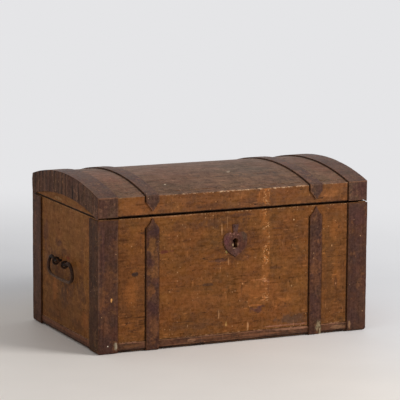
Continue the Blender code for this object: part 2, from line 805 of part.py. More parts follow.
def keyhole_outline():
    """Round above, a narrow neck, and a foot that widens again."""
    end = 180 - KEY_ROUND_START
    round_part = arc_points((0, KEY_Z), KEY_RADIUS, KEY_ROUND_START, end, KEY_ROUND_STEPS)
    neck_z, low_z = KEY_Z - KEY_RADIUS, KEY_Z - KEY_DEPTH
    return round_part + [
        (-KEY_NECK_HALF, neck_z),
        (-KEY_FOOT_HALF, low_z),
        (KEY_FOOT_HALF, low_z),
        (KEY_NECK_HALF, neck_z),
    ]


def build_lock(chest, lid, front, look):
    face = -HALF_Y - GAP
    plate_y = INNER_FRONT + GAP
    top_y = plate_y + LOCK_PLATE
    keyhole = prism(keyhole_outline(), "Y", -HALF_Y - OVERCUT, top_y + LOCK_PLATE)
    keyhole = add_helper("keyhole", keyhole, chest)
    plate = add_piece("key_plate", prism(heart_outline(), "Y", face - PLATE, face), look, chest)
    combine(plate, keyhole)
    combine(front, keyhole)

    plate_nails = (
        (0.0, STEM_TOP - STEM_NAIL_DROP),
        (-LOBE_NAIL_X, HEART_TOP - LOBE_NAIL_DROP),
        (LOBE_NAIL_X, HEART_TOP - LOBE_NAIL_DROP),
        (0.0, HEART_TIP + TIP_NAIL_RAISE),
    )
    holes = nail_holes(plate_nails, face - PLATE, 1)
    holes = add_helper("key_plate_nail_holes", holes, chest)
    combine(plate, holes)
    combine(front, holes)
    for number, (x, z) in enumerate(plate_nails, 1):
        add_piece(f"key_plate_nail_{number}", nail(x, z, face - PLATE, 1), look, chest)

    # The lock's own plate, on the inside of the front board, with the keepers of the bolt
    back_plate = add_piece(
        "lock_plate",
        box((-LOCK_PLATE_HALF, plate_y, LOCK_PLATE_LOW), (LOCK_PLATE_HALF, top_y, LOCK_PLATE_TOP)),
        look,
        chest,
    )
    bolt_y = top_y + BOLT_STAND
    bolt_top = BOLT_LOW + BOLT_HEIGHT
    keepers = [BOLT_END - reach for reach in KEEPERS_FROM_END]
    for number, x in enumerate(keepers, 1):
        block = box(
            (x - KEEPER_THICKNESS / 2, top_y - LOCK_PLATE / 2, BOLT_LOW - KEEPER_WALL),
            (x + KEEPER_THICKNESS / 2, bolt_y + BOLT_THICKNESS + KEEPER_WALL, bolt_top + KEEPER_WALL),
        )
        combine(back_plate, add_helper(f"keeper_{number}", block, chest), "UNION")
    run = box(
        (-COVER_HALF, bolt_y - GAP, BOLT_LOW - GAP),
        (0.0, bolt_y + BOLT_THICKNESS + GAP, bolt_top + GAP),
    )
    combine(back_plate, add_helper("bolt_run", run, chest))
    combine(back_plate, keyhole)
    inset = (LOCK_PLATE_HALF - COVER_HALF) / 2
    lock_nails = [
        (sx * (LOCK_PLATE_HALF - inset), z)
        for sx in (-1, 1)
        for z in (LOCK_PLATE_LOW + inset, LOCK_PLATE_TOP - inset)
    ]
    holes = add_helper("lock_nail_holes", nail_holes(lock_nails, top_y, -1), chest)
    combine(back_plate, holes)
    combine(front, holes)
    for number, (x, z) in enumerate(lock_nails, 1):
        add_piece(f"lock_nail_{number}", nail(x, z, top_y, -1), look, chest)

    # The box over the works, open at its back and slotted above for the staple
    cover_y = top_y + GAP
    cover = add_piece(
        "lock_cover",
        box((-COVER_HALF, cover_y, COVER_LOW), (COVER_HALF, cover_y + COVER_DEPTH, COVER_TOP)),
        look,
        chest,
    )
    hollow = box(
        (-COVER_HALF + LOCK_SHEET, cover_y - OVERCUT, COVER_LOW + LOCK_SHEET),
        (COVER_HALF - LOCK_SHEET, cover_y + COVER_DEPTH - LOCK_SHEET, COVER_TOP - LOCK_SHEET),
    )
    combine(cover, add_helper("cover_hollow", hollow, chest))
    window_near = bolt_y - STAPLE_CLEAR
    window_far = bolt_y + BOLT_THICKNESS + STAPLE_CLEAR
    slot_half = STAPLE_HALF + STAPLE_CLEAR
    slot = box(
        (-slot_half, cover_y - OVERCUT, COVER_TOP - 2 * LOCK_SHEET),
        (slot_half, window_far + STAPLE_WALL + STAPLE_CLEAR, COVER_TOP + OVERCUT),
    )
    combine(cover, add_helper("cover_slot", slot, chest))

    # The bolt, drawn back, with the notch that the key turns in
    talon_right = BOLT_END - TALON_FROM_END
    talon_left = talon_right - TALON_WIDTH
    bolt_outline = [
        (BOLT_TAIL, BOLT_LOW),
        (talon_left, BOLT_LOW),
        (talon_left, BOLT_LOW + TALON_DEPTH),
        (talon_right, BOLT_LOW + TALON_DEPTH),
        (talon_right, BOLT_LOW),
        (BOLT_END, BOLT_LOW),
        (BOLT_END, bolt_top),
        (BOLT_TAIL, bolt_top),
    ]
    add_piece("lock_bolt", prism(bolt_outline, "Y", bolt_y, bolt_y + BOLT_THICKNESS), look, chest)

    # The leaf spring that keeps the bolt where the key left it, held by a stub on the plate
    stub_x = keepers[0]
    stub_z = bolt_top + STUB_RISE
    stub_far = bolt_y + SPRING_WIDTH + LOCK_SHEET
    stub_near = top_y - LOCK_PLATE / 2
    centre = (stub_x, (stub_near + stub_far) / 2, stub_z)
    stub = rod("Y", centre, STUB_RADIUS, stub_far - stub_near, STUB_SIDES)
    combine(back_plate, add_helper("spring_stub", stub, chest), "UNION")
    end_z = stub_z - STUB_RADIUS - GAP
    rest_z = bolt_top + GAP
    rest_left = BOLT_END - SPRING_FROM_END - SPRING_HALF_REST
    rest_right = rest_left + 2 * SPRING_HALF_REST
    spring_outline = [
        (stub_x - SPRING_HALF_END, end_z - SPRING_THICKNESS),
        (stub_x + SPRING_HALF_END, end_z - SPRING_THICKNESS),
        (rest_left, rest_z),
        (rest_right, rest_z),
        (rest_right, rest_z + SPRING_THICKNESS),
        (rest_left + SPRING_THICKNESS, rest_z + SPRING_THICKNESS),
        (stub_x + SPRING_HALF_END + SPRING_THICKNESS, end_z),
        (stub_x - SPRING_HALF_END, end_z),
    ]
    add_piece("lock_spring", prism(spring_outline, "Y", bolt_y, bolt_y + SPRING_WIDTH), look, chest)

    # The hasp on the lid's front rail, with the staple that drops into the lock
    hasp_low = RAIL_LOW + HASP_LOW_GAP
    hasp = add_piece(
        "lid_hasp",
        box((-HASP_HALF, plate_y, hasp_low), (HASP_HALF, plate_y + LOCK_PLATE, hasp_low + HASP_HEIGHT)),
        look,
        lid,
        (0.0, HINGE_Y, HINGE_Z),
    )
    staple_low = BOLT_LOW - STAPLE_CLEAR - STAPLE_FOOT
    shelf_low = hasp_low + SHELF_RAISE
    staple = box(
        (-STAPLE_HALF, window_near - STAPLE_WALL, staple_low),
        (STAPLE_HALF, window_far + STAPLE_WALL, shelf_low + STAPLE_FOOT),
    )
    shelf = box(
        (-STAPLE_HALF, plate_y + LOCK_PLATE / 2, shelf_low),
        (STAPLE_HALF, window_near, shelf_low + SHELF_THICKNESS),
    )
    window = box(
        (-OVERCUT, window_near, BOLT_LOW - STAPLE_CLEAR),
        (OVERCUT, window_far, bolt_top + STAPLE_ABOVE),
    )
    combine(hasp, add_helper("staple_shelf", shelf, lid), "UNION")
    combine(hasp, add_helper("staple_body", staple, lid), "UNION")
    combine(hasp, add_helper("staple_window", window, lid))
    hasp_nails = [(sx * HASP_NAIL_X, hasp_low + HASP_NAIL_RAISE) for sx in (-1, 1)]
    hasp_y = plate_y + LOCK_PLATE
    holes = add_helper("hasp_nail_holes", nail_holes(hasp_nails, hasp_y, -1), lid)
    combine(hasp, holes)
    combine(bpy.data.objects["lid_front_rail"], holes)
    for number, (x, z) in enumerate(hasp_nails, 1):
        add_piece(f"hasp_nail_{number}", nail(x, z, hasp_y, -1), look, lid)


def build_chest():
    clear_scene()
    wood = finish("grained_wood", (0.30, 0.13, 0.045), 0.55)
    bare_wood = finish("floor_wood", (0.22, 0.11, 0.05), 0.7)
    iron = finish("strap_iron", (0.085, 0.045, 0.035), 0.5, 0.6)
    handle_iron = finish("handle_iron", (0.05, 0.035, 0.03), 0.5, 0.8)
    lock_iron = finish("lock_iron", (0.10, 0.06, 0.055), 0.5, 0.7)

    chest = axis_empty("chest", (0, 0, 0))
    chest.location = (0, SHIFT_Y, 0)
    lid = axis_empty("lid_axis", (0, HINGE_Y, HINGE_Z), chest)

    front, ends = build_case(chest, wood, bare_wood)
    build_corner_irons(chest, iron)
    build_front_straps(chest, iron)
    build_lid_boards(lid, wood)
    build_lid_edge_irons(lid, iron)
    build_hinges(chest, lid, iron)
    for name, side in (("left", -1), ("right", 1)):
        build_handle(name, side, chest, ends[side], handle_iron)
    build_lock(chest, lid, front, lock_iron)


build_chest()
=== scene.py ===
"""The looks of an iron-bound storage chest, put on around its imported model."""

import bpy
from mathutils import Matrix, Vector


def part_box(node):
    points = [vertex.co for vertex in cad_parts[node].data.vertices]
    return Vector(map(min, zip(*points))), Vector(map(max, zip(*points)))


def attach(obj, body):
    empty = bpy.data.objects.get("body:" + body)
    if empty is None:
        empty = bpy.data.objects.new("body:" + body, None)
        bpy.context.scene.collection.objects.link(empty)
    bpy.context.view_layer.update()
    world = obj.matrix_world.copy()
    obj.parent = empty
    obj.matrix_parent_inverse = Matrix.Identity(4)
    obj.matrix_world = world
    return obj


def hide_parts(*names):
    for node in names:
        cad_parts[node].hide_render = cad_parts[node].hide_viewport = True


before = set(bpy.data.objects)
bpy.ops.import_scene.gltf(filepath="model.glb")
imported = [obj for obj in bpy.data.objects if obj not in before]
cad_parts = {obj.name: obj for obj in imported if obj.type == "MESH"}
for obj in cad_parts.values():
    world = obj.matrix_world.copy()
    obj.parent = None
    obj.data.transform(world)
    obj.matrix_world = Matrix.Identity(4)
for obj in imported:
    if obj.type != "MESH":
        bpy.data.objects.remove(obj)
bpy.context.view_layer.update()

import math

import bmesh
import bpy
from mathutils import Matrix, Vector, noise

# The camera stands about five metres off, to the left of the front and a little above the lid.
# Its long lens keeps the chest's lines almost parallel, as they are in the photograph.
CAMERA_PLACE = Vector((-2.0490, -4.47345, 1.0912))
CAMERA_YAW = math.radians(24.661)
CAMERA_PITCH = math.radians(9.535)
CAMERA_ROLL = math.radians(0.345)
CAMERA_LENS = 215.9
SENSOR = 36

forward = Vector(
    (
        math.sin(CAMERA_YAW) * math.cos(CAMERA_PITCH),
        math.cos(CAMERA_YAW) * math.cos(CAMERA_PITCH),
        -math.sin(CAMERA_PITCH),
    )
)
level = Vector((math.cos(CAMERA_YAW), -math.sin(CAMERA_YAW), 0))
upright = level.cross(forward)
right = math.cos(CAMERA_ROLL) * level + math.sin(CAMERA_ROLL) * upright
up = -math.sin(CAMERA_ROLL) * level + math.cos(CAMERA_ROLL) * upright
lens = bpy.data.cameras.new("camera")
lens.lens = CAMERA_LENS
lens.sensor_width = SENSOR
camera = bpy.data.objects.new("camera", lens)
bpy.context.scene.collection.objects.link(camera)
facing = Matrix((right, up, -forward)).transposed().to_4x4()
camera.matrix_world = Matrix.Translation(CAMERA_PLACE) @ facing
bpy.context.scene.camera = camera


# The floor is pale and plain, and runs out into a pale wall's colour. The light is soft and comes
# from the front right, low enough to lay a grey shadow to the left of the chest.
def tone(red, green, blue):
    """A colour as it is seen on a screen, 0 to 255, made into what a shader wants."""
    parts = [part / 255 for part in (red, green, blue)]
    linear = [p / 12.92 if p <= 0.04045 else ((p + 0.055) / 1.055) ** 2.4 for p in parts]
    return (*linear, 1.0)


def put(tree, kind, values=None, **settings):
    """Adds a shader node. Each of its sockets is given a value, or a link from another socket."""
    made = tree.nodes.new("ShaderNode" + kind)
    for name, value in settings.items():
        setattr(made, name, value)
    for socket, value in (values or {}).items():
        if isinstance(value, bpy.types.NodeSocket):
            tree.links.new(value, made.inputs[socket])
        else:
            made.inputs[socket].default_value = value
    return made


def reckon(tree, operation, *values):
    return put(tree, "Math", dict(enumerate(values)), operation=operation).outputs[0]


def ease(tree, value, low, high, to_low=0.0, to_high=1.0):
    """Goes smoothly from to_low to to_high as a value goes from low to high."""
    values = {"Value": value, "From Min": low, "From Max": high}
    values |= {"To Min": to_low, "To Max": to_high}
    return put(tree, "MapRange", values, interpolation_type="SMOOTHSTEP").outputs[0]


def mixed(tree, share, base, over, blend="MIX"):
    values = {0: share, 6: base, 7: over}
    return put(tree, "Mix", values, data_type="RGBA", blend_type=blend).outputs[2]


WALL = tone(229, 229, 231)
FLOOR = tone(232, 225, 218)
FLOOR_RADIUS = 4.0
FLOOR_SIDES = 96
FLOOR_GLOW_MEASURED_FROM = (-0.7, -0.2, 0.0)
FLOOR_FADES = (0.95, 2.3)
FLOOR_PALES_BEHIND = (0.20, 0.60)
FLOOR_PALES_RIGHT = (0.0, 0.50)
SKY = 0.45
KEY_SHARE = 0.76
FILL_SHARE = 0.10
LIGHTS_AIM_AT = Vector((0, 0, 0.15))

bpy.context.scene.view_settings.view_transform = "Standard"
world = bpy.data.worlds.new("room")
world.use_nodes = True
bpy.context.scene.world = world
room = world.node_tree
room.nodes.clear()
path = put(room, "LightPath")
seen = reckon(room, "MAXIMUM", path.outputs["Is Camera Ray"], path.outputs["Is Glossy Ray"])
seen = reckon(room, "MAXIMUM", seen, path.outputs["Is Transmission Ray"])
soft = put(room, "Background", {"Color": (1, 1, 1, 1), "Strength": SKY})
shown = put(room, "Background", {"Color": WALL, "Strength": 1.0})
sky = put(room, "MixShader", {0: seen, 1: soft.outputs[0], 2: shown.outputs[0]})
put(room, "OutputWorld", {"Surface": sky.outputs[0]})

shape = bmesh.new()
bmesh.ops.create_circle(shape, cap_ends=True, segments=FLOOR_SIDES, radius=FLOOR_RADIUS)
mesh = bpy.data.meshes.new("floor")
shape.to_mesh(mesh)
shape.free()
floor = bpy.data.objects.new("floor", mesh)
bpy.context.scene.collection.objects.link(floor)
floor_finish = bpy.data.materials.new("pale_floor")
floor_finish.use_nodes = True
tree = floor_finish.node_tree
shader = tree.nodes["Principled BSDF"]
shader.inputs["Roughness"].default_value = 0.6
shader.inputs["Specular IOR Level"].default_value = 0.2
place = put(tree, "TexCoord").outputs["Object"]
# Measured from a point off to the left, so the glow into the wall's colour begins sooner on the
# right: painted light from that side.
away = put(tree, "VectorMath", {0: place, 1: FLOOR_GLOW_MEASURED_FROM}, operation="DISTANCE")
parts = put(tree, "SeparateXYZ", {0: place}).outputs
behind = ease(tree, parts["Y"], *FLOOR_PALES_BEHIND)
# The floor is also painted paler to the right, as light from that side.
pales = reckon(tree, "MAXIMUM", behind, ease(tree, parts["X"], *FLOOR_PALES_RIGHT))
cloud = put(tree, "TexNoise", {"Vector": place, "Scale": 3.0, "Detail": 3.0}).outputs[0]
paler = mixed(tree, pales, FLOOR, WALL)
cloudy = ease(tree, cloud, 0.3, 0.7, 0.975, 1.02)
tree.links.new(mixed(tree, 1.0, paler, cloudy, "MULTIPLY"), shader.inputs["Base Color"])
glow = put(tree, "Emission", {"Color": WALL, "Strength": 1.0})
share = ease(tree, away.outputs["Value"], *FLOOR_FADES)
fade = put(tree, "MixShader", {0: share, 1: shader.outputs[0], 2: glow.outputs[0]})
tree.links.new(fade.outputs[0], tree.nodes["Material Output"].inputs["Surface"])
mesh.materials.append(floor_finish)


def add_window(name, direction, distance, width, height, share):
    """A soft square light that gives a share of full brightness to a white face turned to it."""
    light = bpy.data.lights.new(name, "AREA")
    light.shape = "RECTANGLE"
    light.size, light.size_y = width, height
    light.energy = share * math.pi**2 * distance**2
    lamp = bpy.data.objects.new(name, light)
    bpy.context.scene.collection.objects.link(lamp)
    towards = Vector(direction).normalized()
    lamp.location = towards * distance + LIGHTS_AIM_AT
    lamp.rotation_mode = "QUATERNION"
    lamp.rotation_quaternion = towards.to_track_quat("Z", "Y")


add_window("key", (0.60, -0.66, 0.48), 3.6, 1.5, 1.2, KEY_SHARE)
add_window("fill", (-0.85, -0.45, 0.42), 4.0, 3.0, 2.4, FILL_SHARE)


# The bottom board is nailed on from below, so that its worn edge shows all round as a strip of
# bruised paint and bare red-brown wood. The helpers made here, for shapes and for finishes, and
# the bare wood serve every board.
MERGE = 0.00001
SLIVER = 0.000001
EDGE_BAND = 0.0025
HOLLOW_SPREAD = 0.045
CHIP_SPREAD = 0.008
CHIP_RARITY = 0.12


def copy_of(node):
    """A CAD piece's shape, its loose triangles merged and its flat faces made whole again."""
    shape = bmesh.new()
    shape.from_mesh(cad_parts[node].data)
    shape.verts.layers.float.new("edge")
    shape.verts.layers.float.new("shade_and_dirt")
    shape.faces.layers.int.new("rounded")
    bmesh.ops.remove_doubles(shape, verts=shape.verts, dist=MERGE)
    bmesh.ops.dissolve_limit(
        shape, angle_limit=math.radians(1), verts=shape.verts, edges=shape.edges
    )
    return shape


def soften(shape, width, angle=35, shortest=0.003):
    """Rounds a piece's arrises, and keeps note of which faces those are."""
    arrises = [
        e
        for e in shape.edges
        if len(e.link_faces) == 2
        and e.calc_face_angle() > math.radians(angle)
        and e.calc_length() > shortest
    ]
    made = bmesh.ops.bevel(
        shape,
        geom=arrises,
        offset=width,
        segments=2,
        profile=0.5,
        affect="EDGES",
        material=-1,
        clamp_overlap=True,
    )
    rounded = shape.faces.layers.int["rounded"]
    for face in made["faces"]:
        face[rounded] = 1


def cut_up(shape, steps):
    """Cuts a piece across at even steps along each axis, and close inside its two ends."""
    bmesh.ops.connect_verts_concave(shape, faces=shape.faces)
    for axis, step in enumerate(steps):
        if not step:
            continue
        low = min(v.co[axis] for v in shape.verts)
        high = max(v.co[axis] for v in shape.verts)
        count = max(1, round((high - low) / step))
        places = [low + (high - low) * i / count for i in range(1, count)]
        if high - low > 4 * EDGE_BAND:
            places += [low + EDGE_BAND, high - EDGE_BAND]
        across = Vector([float(i == axis) for i in range(3)])
        for place in places:
            everything = shape.verts[:] + shape.edges[:] + shape.faces[:]
            bmesh.ops.bisect_plane(
                shape, geom=everything, dist=MERGE, plane_co=across * place, plane_no=across
            )
    bmesh.ops.dissolve_degenerate(shape, dist=SLIVER, edges=shape.edges)


def weather(shape, dent, chip, seed):
    """Hollows a piece a little all over, bites into its rounded edges, and marks them as worn."""
    edge = shape.verts.layers.float["edge"]
    rounded = shape.faces.layers.int["rounded"]
    for vert in shape.verts:
        vert[edge] = float(any(face[rounded] for face in vert.link_faces))
    shape.normal_update()
    moves = []
    for vert in shape.verts:
        at = vert.co + Vector((seed, 0.7 * seed, 0.3 * seed))
        hollow = dent * max(0.0, 0.5 + noise.noise(at / HOLLOW_SPREAD))
        bite = chip * vert[edge] * max(0.0, noise.noise(at / CHIP_SPREAD) - CHIP_RARITY)
        moves.append(vert.normal * -(hollow + bite))
    for vert, move in zip(shape.verts, moves):
        vert.co += move


def wear_down(shape, rounding, steps, dent, chip, seed, **which):
    """Takes a piece through the three steps that make it look old."""
    soften(shape, rounding, **which)
    cut_up(shape, steps)
    weather(shape, dent, chip, seed)
    return shape


def sort_faces(shape, rule):
    """Gives each face the number of the finish that the rule picks for it."""
    shape.normal_update()
    for face in shape.faces:
        face.material_index = rule(face)


def add_piece(name, shape, finishes, body, slot, *stands_for):
    mesh = bpy.data.meshes.new(name)
    shape.to_mesh(mesh)
    shape.free()
    for finish in finishes:
        mesh.materials.append(finish)
    mesh.shade_smooth()
    mesh.set_sharp_from_angle(angle=math.radians(40))
    piece = bpy.data.objects.new(name, mesh)
    bpy.context.scene.collection.objects.link(piece)
    evened = piece.modifiers.new("evened", "WEIGHTED_NORMAL")
    evened.keep_sharp = True
    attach(piece, body)
    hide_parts(*stands_for)


def new_group(name, **inputs):
    """A node group. Each input is given by its kind, or by the usual value of a number."""
    group = bpy.data.node_groups.new(name, "ShaderNodeTree")
    for label, usual in inputs.items():
        kind = usual if isinstance(usual, str) else "Float"
        socket = group.interface.new_socket(label, in_out="INPUT", socket_type="NodeSocket" + kind)
        if kind == "Float":
            socket.default_value = usual
    return group, group.nodes.new("NodeGroupInput").outputs


def give(group, **values):
    """Ends a node group with its outputs: one colour at most, and plain values."""
    for label in values:
        kind = "Color" if label == "Color" else "Float"
        group.interface.new_socket(label, in_out="OUTPUT", socket_type="NodeSocket" + kind)
    output = group.nodes.new("NodeGroupOutput")
    for label, socket in values.items():
        group.links.new(socket, output.inputs[label])


def effect(tree, name, **values):
    return put(tree, "Group", values, node_tree=bpy.data.node_groups[name]).outputs


def stretch(tree, vector, x, y, z, shift=0.0):
    values = {"Vector": vector, "Scale": (x, y, z), "Location": (shift, shift, shift)}
    return put(tree, "Mapping", values).outputs[0]


def clouds(tree, vector, scale, detail=2.0, roughness=0.5):
    values = {"Vector": vector, "Scale": scale, "Detail": detail, "Roughness": roughness}
    return put(tree, "TexNoise", values).outputs[0]


def patches(tree, vector, scale, low, high, detail=2.0, roughness=0.5):
    """Cloudy patches: 0 where the noise is below low, and 1 above high."""
    return ease(tree, clouds(tree, vector, scale, detail, roughness), low, high)


def specks(tree, vector, scale, size, share):
    """Scattered spots, on a share of the cells of a random pattern. Size is a part of a cell."""
    cells = put(tree, "TexVoronoi", {"Vector": vector, "Scale": scale})
    spot = ease(tree, cells.outputs["Distance"], size, size * 0.6)
    chosen = put(tree, "SeparateColor", {0: cells.outputs["Color"]}).outputs[0]
    return reckon(tree, "MULTIPLY", spot, reckon(tree, "LESS_THAN", chosen, share))


def times(tree, *values):
    """The product of several masks."""
    made = values[0]
    for value in values[1:]:
        made = reckon(tree, "MULTIPLY", made, value)
    return made


def plus(tree, base, extra, share):
    """A value with a share of another one added."""
    return reckon(tree, "MULTIPLY_ADD", extra, share, base)


def apart(tree, value, middle):
    """How far a value is from a middle one, to either side."""
    return reckon(tree, "ABSOLUTE", reckon(tree, "SUBTRACT", value, middle))


def laid(tree, colour, paint, *masks):
    """A colour with a paint laid over it, as strongly as all the masks say."""
    return mixed(tree, times(tree, *masks), colour, paint)


def tinged(tree, vector, scale, colour, share):
    """A colour made to wander a little in hue from place to place."""
    values = {"Vector": vector, "Scale": scale, "Detail": 2.0, "Roughness": 0.5}
    return mixed(tree, share, colour, put(tree, "TexNoise", values).outputs["Color"], "SOFT_LIGHT")


def roughened(tree, colour, texture, dust, dust_colour):
    """A colour darkened and lightened by a texture, with dust on its lighter places."""
    colour = mixed(tree, 1.0, colour, texture, "MULTIPLY")
    dusty = ease(tree, texture, 0.72, 1.28, 0.0, 2.0)
    return laid(tree, colour, dust_colour, dusty, dust)


# Bare wood: yearly rings that wander along the board, fine pores and dirt. The grain is along X.
tree, given = new_group("bare wood", Vector="Vector", Pale="Color", Dark="Color")
values = {
    "Vector": stretch(tree, given["Vector"], 0.07, 1, 1),
    "Scale": 42.0,
    "Distortion": 10.0,
    "Detail": 4.0,
    "Detail Scale": 0.45,
    "Detail Roughness": 0.6,
}
shapes = {"wave_type": "RINGS", "rings_direction": "X", "wave_profile": "SAW"}
rings = put(tree, "TexWave", values, **shapes).outputs["Fac"]
pores = clouds(tree, stretch(tree, given["Vector"], 18, 900, 900), 1.0, 2.0)
lines = clouds(tree, stretch(tree, given["Vector"], 6, 240, 240, 4.1), 1.0, 4.0, 0.7)
stain = patches(tree, given["Vector"], 9, 0.42, 0.68, 4.0)
colour = mixed(tree, ease(tree, rings, 0.1, 1, 0, 0.6), given["Pale"], given["Dark"])
colour = mixed(tree, 1.0, colour, ease(tree, pores, 0.3, 0.7, 0.78, 1.12), "MULTIPLY")
colour = mixed(tree, 1.0, colour, ease(tree, lines, 0.3, 0.7, 0.82, 1.14), "MULTIPLY")
give(
    tree,
    Color=laid(tree, colour, given["Dark"], stain, 0.45),
    Roughness=ease(tree, stain, 0, 1, 0.62, 0.78),
    Height=plus(tree, reckon(tree, "MULTIPLY", rings, 0.4), pores, 0.6),
)

# Old grained paint: three browns in soft clouds, fine grain along X, short strokes both ways,
# hairline drying cracks, dirt, dark pits and pale flecks.
tree, given = new_group(
    "old grained paint",
    Vector="Vector",
    Deep="Color",
    Middle="Color",
    Bright="Color",
    Dirt="Color",
    Fleck="Color",
    Flecks=1.0,
    Cracks=1.0,
    Dust=0.035,
    Contrast=1.0,
    Strokes=1.0,
)
along = given["Vector"]
broad = clouds(tree, stretch(tree, along, 0.8, 1.1, 1.1), 9.0, 3.0, 0.6)
mottle = clouds(tree, stretch(tree, along, 0.8, 1.2, 1.2, 3.1), 62.0, 6.0, 0.7)
cloudy = plus(tree, reckon(tree, "MULTIPLY", mottle, 0.65), broad, 0.35)
colour = mixed(tree, ease(tree, cloudy, 0.40, 0.50), given["Deep"], given["Middle"])
colour = mixed(tree, ease(tree, cloudy, 0.50, 0.60), colour, given["Bright"])
colour = tinged(tree, stretch(tree, along, 0.8, 1, 1, 12.3), 30.0, colour, 0.12)
grain = clouds(tree, stretch(tree, along, 22, 210, 210), 1.0, 4.0, 0.65)
strokes = clouds(tree, stretch(tree, along, 260, 40, 40, 5.3), 1.0, 4.0, 0.65)
strokes = ease(tree, strokes, 0.32, 0.68, 0.94, 1.06)
fine = clouds(tree, along, 190.0, 6.0, 0.8)
texture = times(
    tree,
    ease(tree, grain, 0.32, 0.68, 0.92, 1.08),
    reckon(tree, "POWER", strokes, given["Strokes"]),
    ease(tree, fine, 0.34, 0.66, 0.82, 1.18),
)
for scratch, shade in (
    (specks(tree, stretch(tree, along, 0.16, 1, 1, 3.7), 150.0, 0.30, 0.20), -0.28),
    (specks(tree, stretch(tree, along, 1, 0.3, 0.3, 5.9), 150.0, 0.26, 0.13), -0.28),
    (specks(tree, stretch(tree, along, 0.3, 1, 1, 6.3), 150.0, 0.28, 0.16), 0.42),
    (specks(tree, stretch(tree, along, 1, 0.2, 0.2, 9.5), 150.0, 0.26, 0.14), 0.42),
):
    texture = plus(tree, texture, scratch, shade)
texture = reckon(tree, "POWER", texture, given["Contrast"])
colour = roughened(tree, colour, texture, given["Dust"], tone(150, 136, 122))
dirty = patches(tree, stretch(tree, along, 0.9, 1.0, 1.0, 7.7), 17.0, 0.46, 0.62, 5.0, 0.6)
dashes = patches(tree, stretch(tree, along, 110, 340, 340, 1.7), 1.0, 0.61, 0.67, 3.0)
colour = laid(tree, colour, given["Dirt"], dashes, dirty, 0.30)
comb = patches(tree, stretch(tree, along, 400, 42, 42, 5.3), 1.0, 0.60, 0.68, 3.0)
combed = patches(tree, stretch(tree, along, 1, 1, 1, 6.1), 15.0, 0.42, 0.60, 3.0)
colour = laid(tree, colour, given["Bright"], comb, combed, given["Strokes"], 0.35)
smudge = patches(tree, stretch(tree, along, 0.5, 1.5, 1.5, 9.1), 48.0, 0.64, 0.70, 5.0, 0.7)
colour = laid(tree, colour, given["Dirt"], smudge, 0.45)
shrunk = clouds(tree, stretch(tree, along, 6, 62, 62, 2.2), 1.0, 2.0, 0.55)
crack = times(
    tree,
    ease(tree, apart(tree, shrunk, 0.5), 0.009, 0.004),
    patches(tree, stretch(tree, along, 0.8, 1, 1, 4.4), 24.0, 0.57, 0.62, 3.0),
    given["Cracks"],
)
colour = laid(tree, colour, tone(34, 22, 17), crack, 0.75)
pits = specks(tree, along, 170.0, 0.28, 0.16)
colour = laid(tree, colour, tone(50, 30, 20), pits, 0.6)
flecks = specks(tree, stretch(tree, along, 1.5, 1.0, 1.0, 8.8), 120.0, 0.21, 0.22)
flecks = times(tree, flecks, patches(tree, along, 19.0, 0.40, 0.58, 3.0), given["Flecks"])
colour = laid(tree, colour, given["Fleck"], flecks, 0.6)
height = plus(tree, reckon(tree, "MULTIPLY", fine, 0.35), grain, 0.4)
for dip, depth in ((dashes, -0.1), (crack, -0.9), (pits, -0.5), (flecks, -0.3)):
    height = plus(tree, height, dip, depth)
give(
    tree,
    Color=colour,
    Roughness=ease(tree, cloudy, 0.35, 0.65, 0.62, 0.46),
    Height=height,
    Ragged=clouds(tree, stretch(tree, along, 1, 1, 1, 7.2), 75.0, 7.0, 0.75),
    Grain=texture,
)

# One mark, of a given middle and half size, with a ragged edge
tree, given = new_group(
    "mark",
    Vector="Vector",
    Centre="Vector",
    Half="Vector",
    Ragged=0.5,
    Unevenness=4.4,
    Softness=0.3,
)
reach = put(tree, "VectorMath", {0: given["Vector"], 1: given["Centre"]}, operation="SUBTRACT")
reach = put(tree, "VectorMath", {0: reach.outputs[0], 1: given["Half"]}, operation="DIVIDE")
reach = put(tree, "VectorMath", {0: reach.outputs[0]}, operation="LENGTH").outputs["Value"]
uneven = reckon(tree, "SUBTRACT", given["Ragged"], 0.5)
reach = plus(tree, reach, uneven, given["Unevenness"])
outer = reckon(tree, "ADD", 0.9, given["Softness"])
inner = reckon(tree, "SUBTRACT", 0.9, given["Softness"])
give(tree, Mask=ease(tree, reach, outer, inner))

# Wear along the softened edges, broken up by noise
tree, given = new_group("edge wear", Vector="Vector", Amount=0.5)
edge = put(tree, "Attribute", attribute_name="edge").outputs["Fac"]
broken = clouds(tree, given["Vector"], 170.0, 4.0, 0.65)
worn = ease(tree, plus(tree, broken, given["Amount"], 0.35), 0.60, 0.72)
give(tree, Mask=times(tree, worn, ease(tree, edge, 0.25, 0.9)))

SMALL_MARK = 5
RELIEF = 0.0003


def add_marks(tree, vector, surface, marks, blank_axis):
    """Lays marks over a surface. Each is (u, v, half u, half v, colour, share), in mm."""
    colour = surface["Color"]
    for u, v, half_u, half_v, paint, share in marks:
        centre, half = [u / 1000, v / 1000], [half_u / 1000, half_v / 1000]
        centre.insert(blank_axis, 0.0)
        half.insert(blank_axis, 10.0)
        small = min(half_u, half_v) < SMALL_MARK
        values = {"Vector": vector, "Centre": centre, "Half": half, "Ragged": surface["Ragged"]}
        values |= {"Unevenness": 2.2 if small else 4.8, "Softness": 0.15 if small else 0.45}
        spot = effect(tree, "mark", **values)["Mask"]
        paint = mixed(tree, 1.0, tone(*paint), surface["Grain"], "MULTIPLY")
        colour = laid(tree, colour, paint, spot, share)
    return colour


def new_finish(name, specular=0.06):
    """A material, its tree and the place on the piece."""
    finish = bpy.data.materials.new(name)
    finish.use_nodes = True
    tree = finish.node_tree
    tree.nodes["Principled BSDF"].inputs["Specular IOR Level"].default_value = specular
    return finish, tree, put(tree, "TexCoord").outputs["Object"]


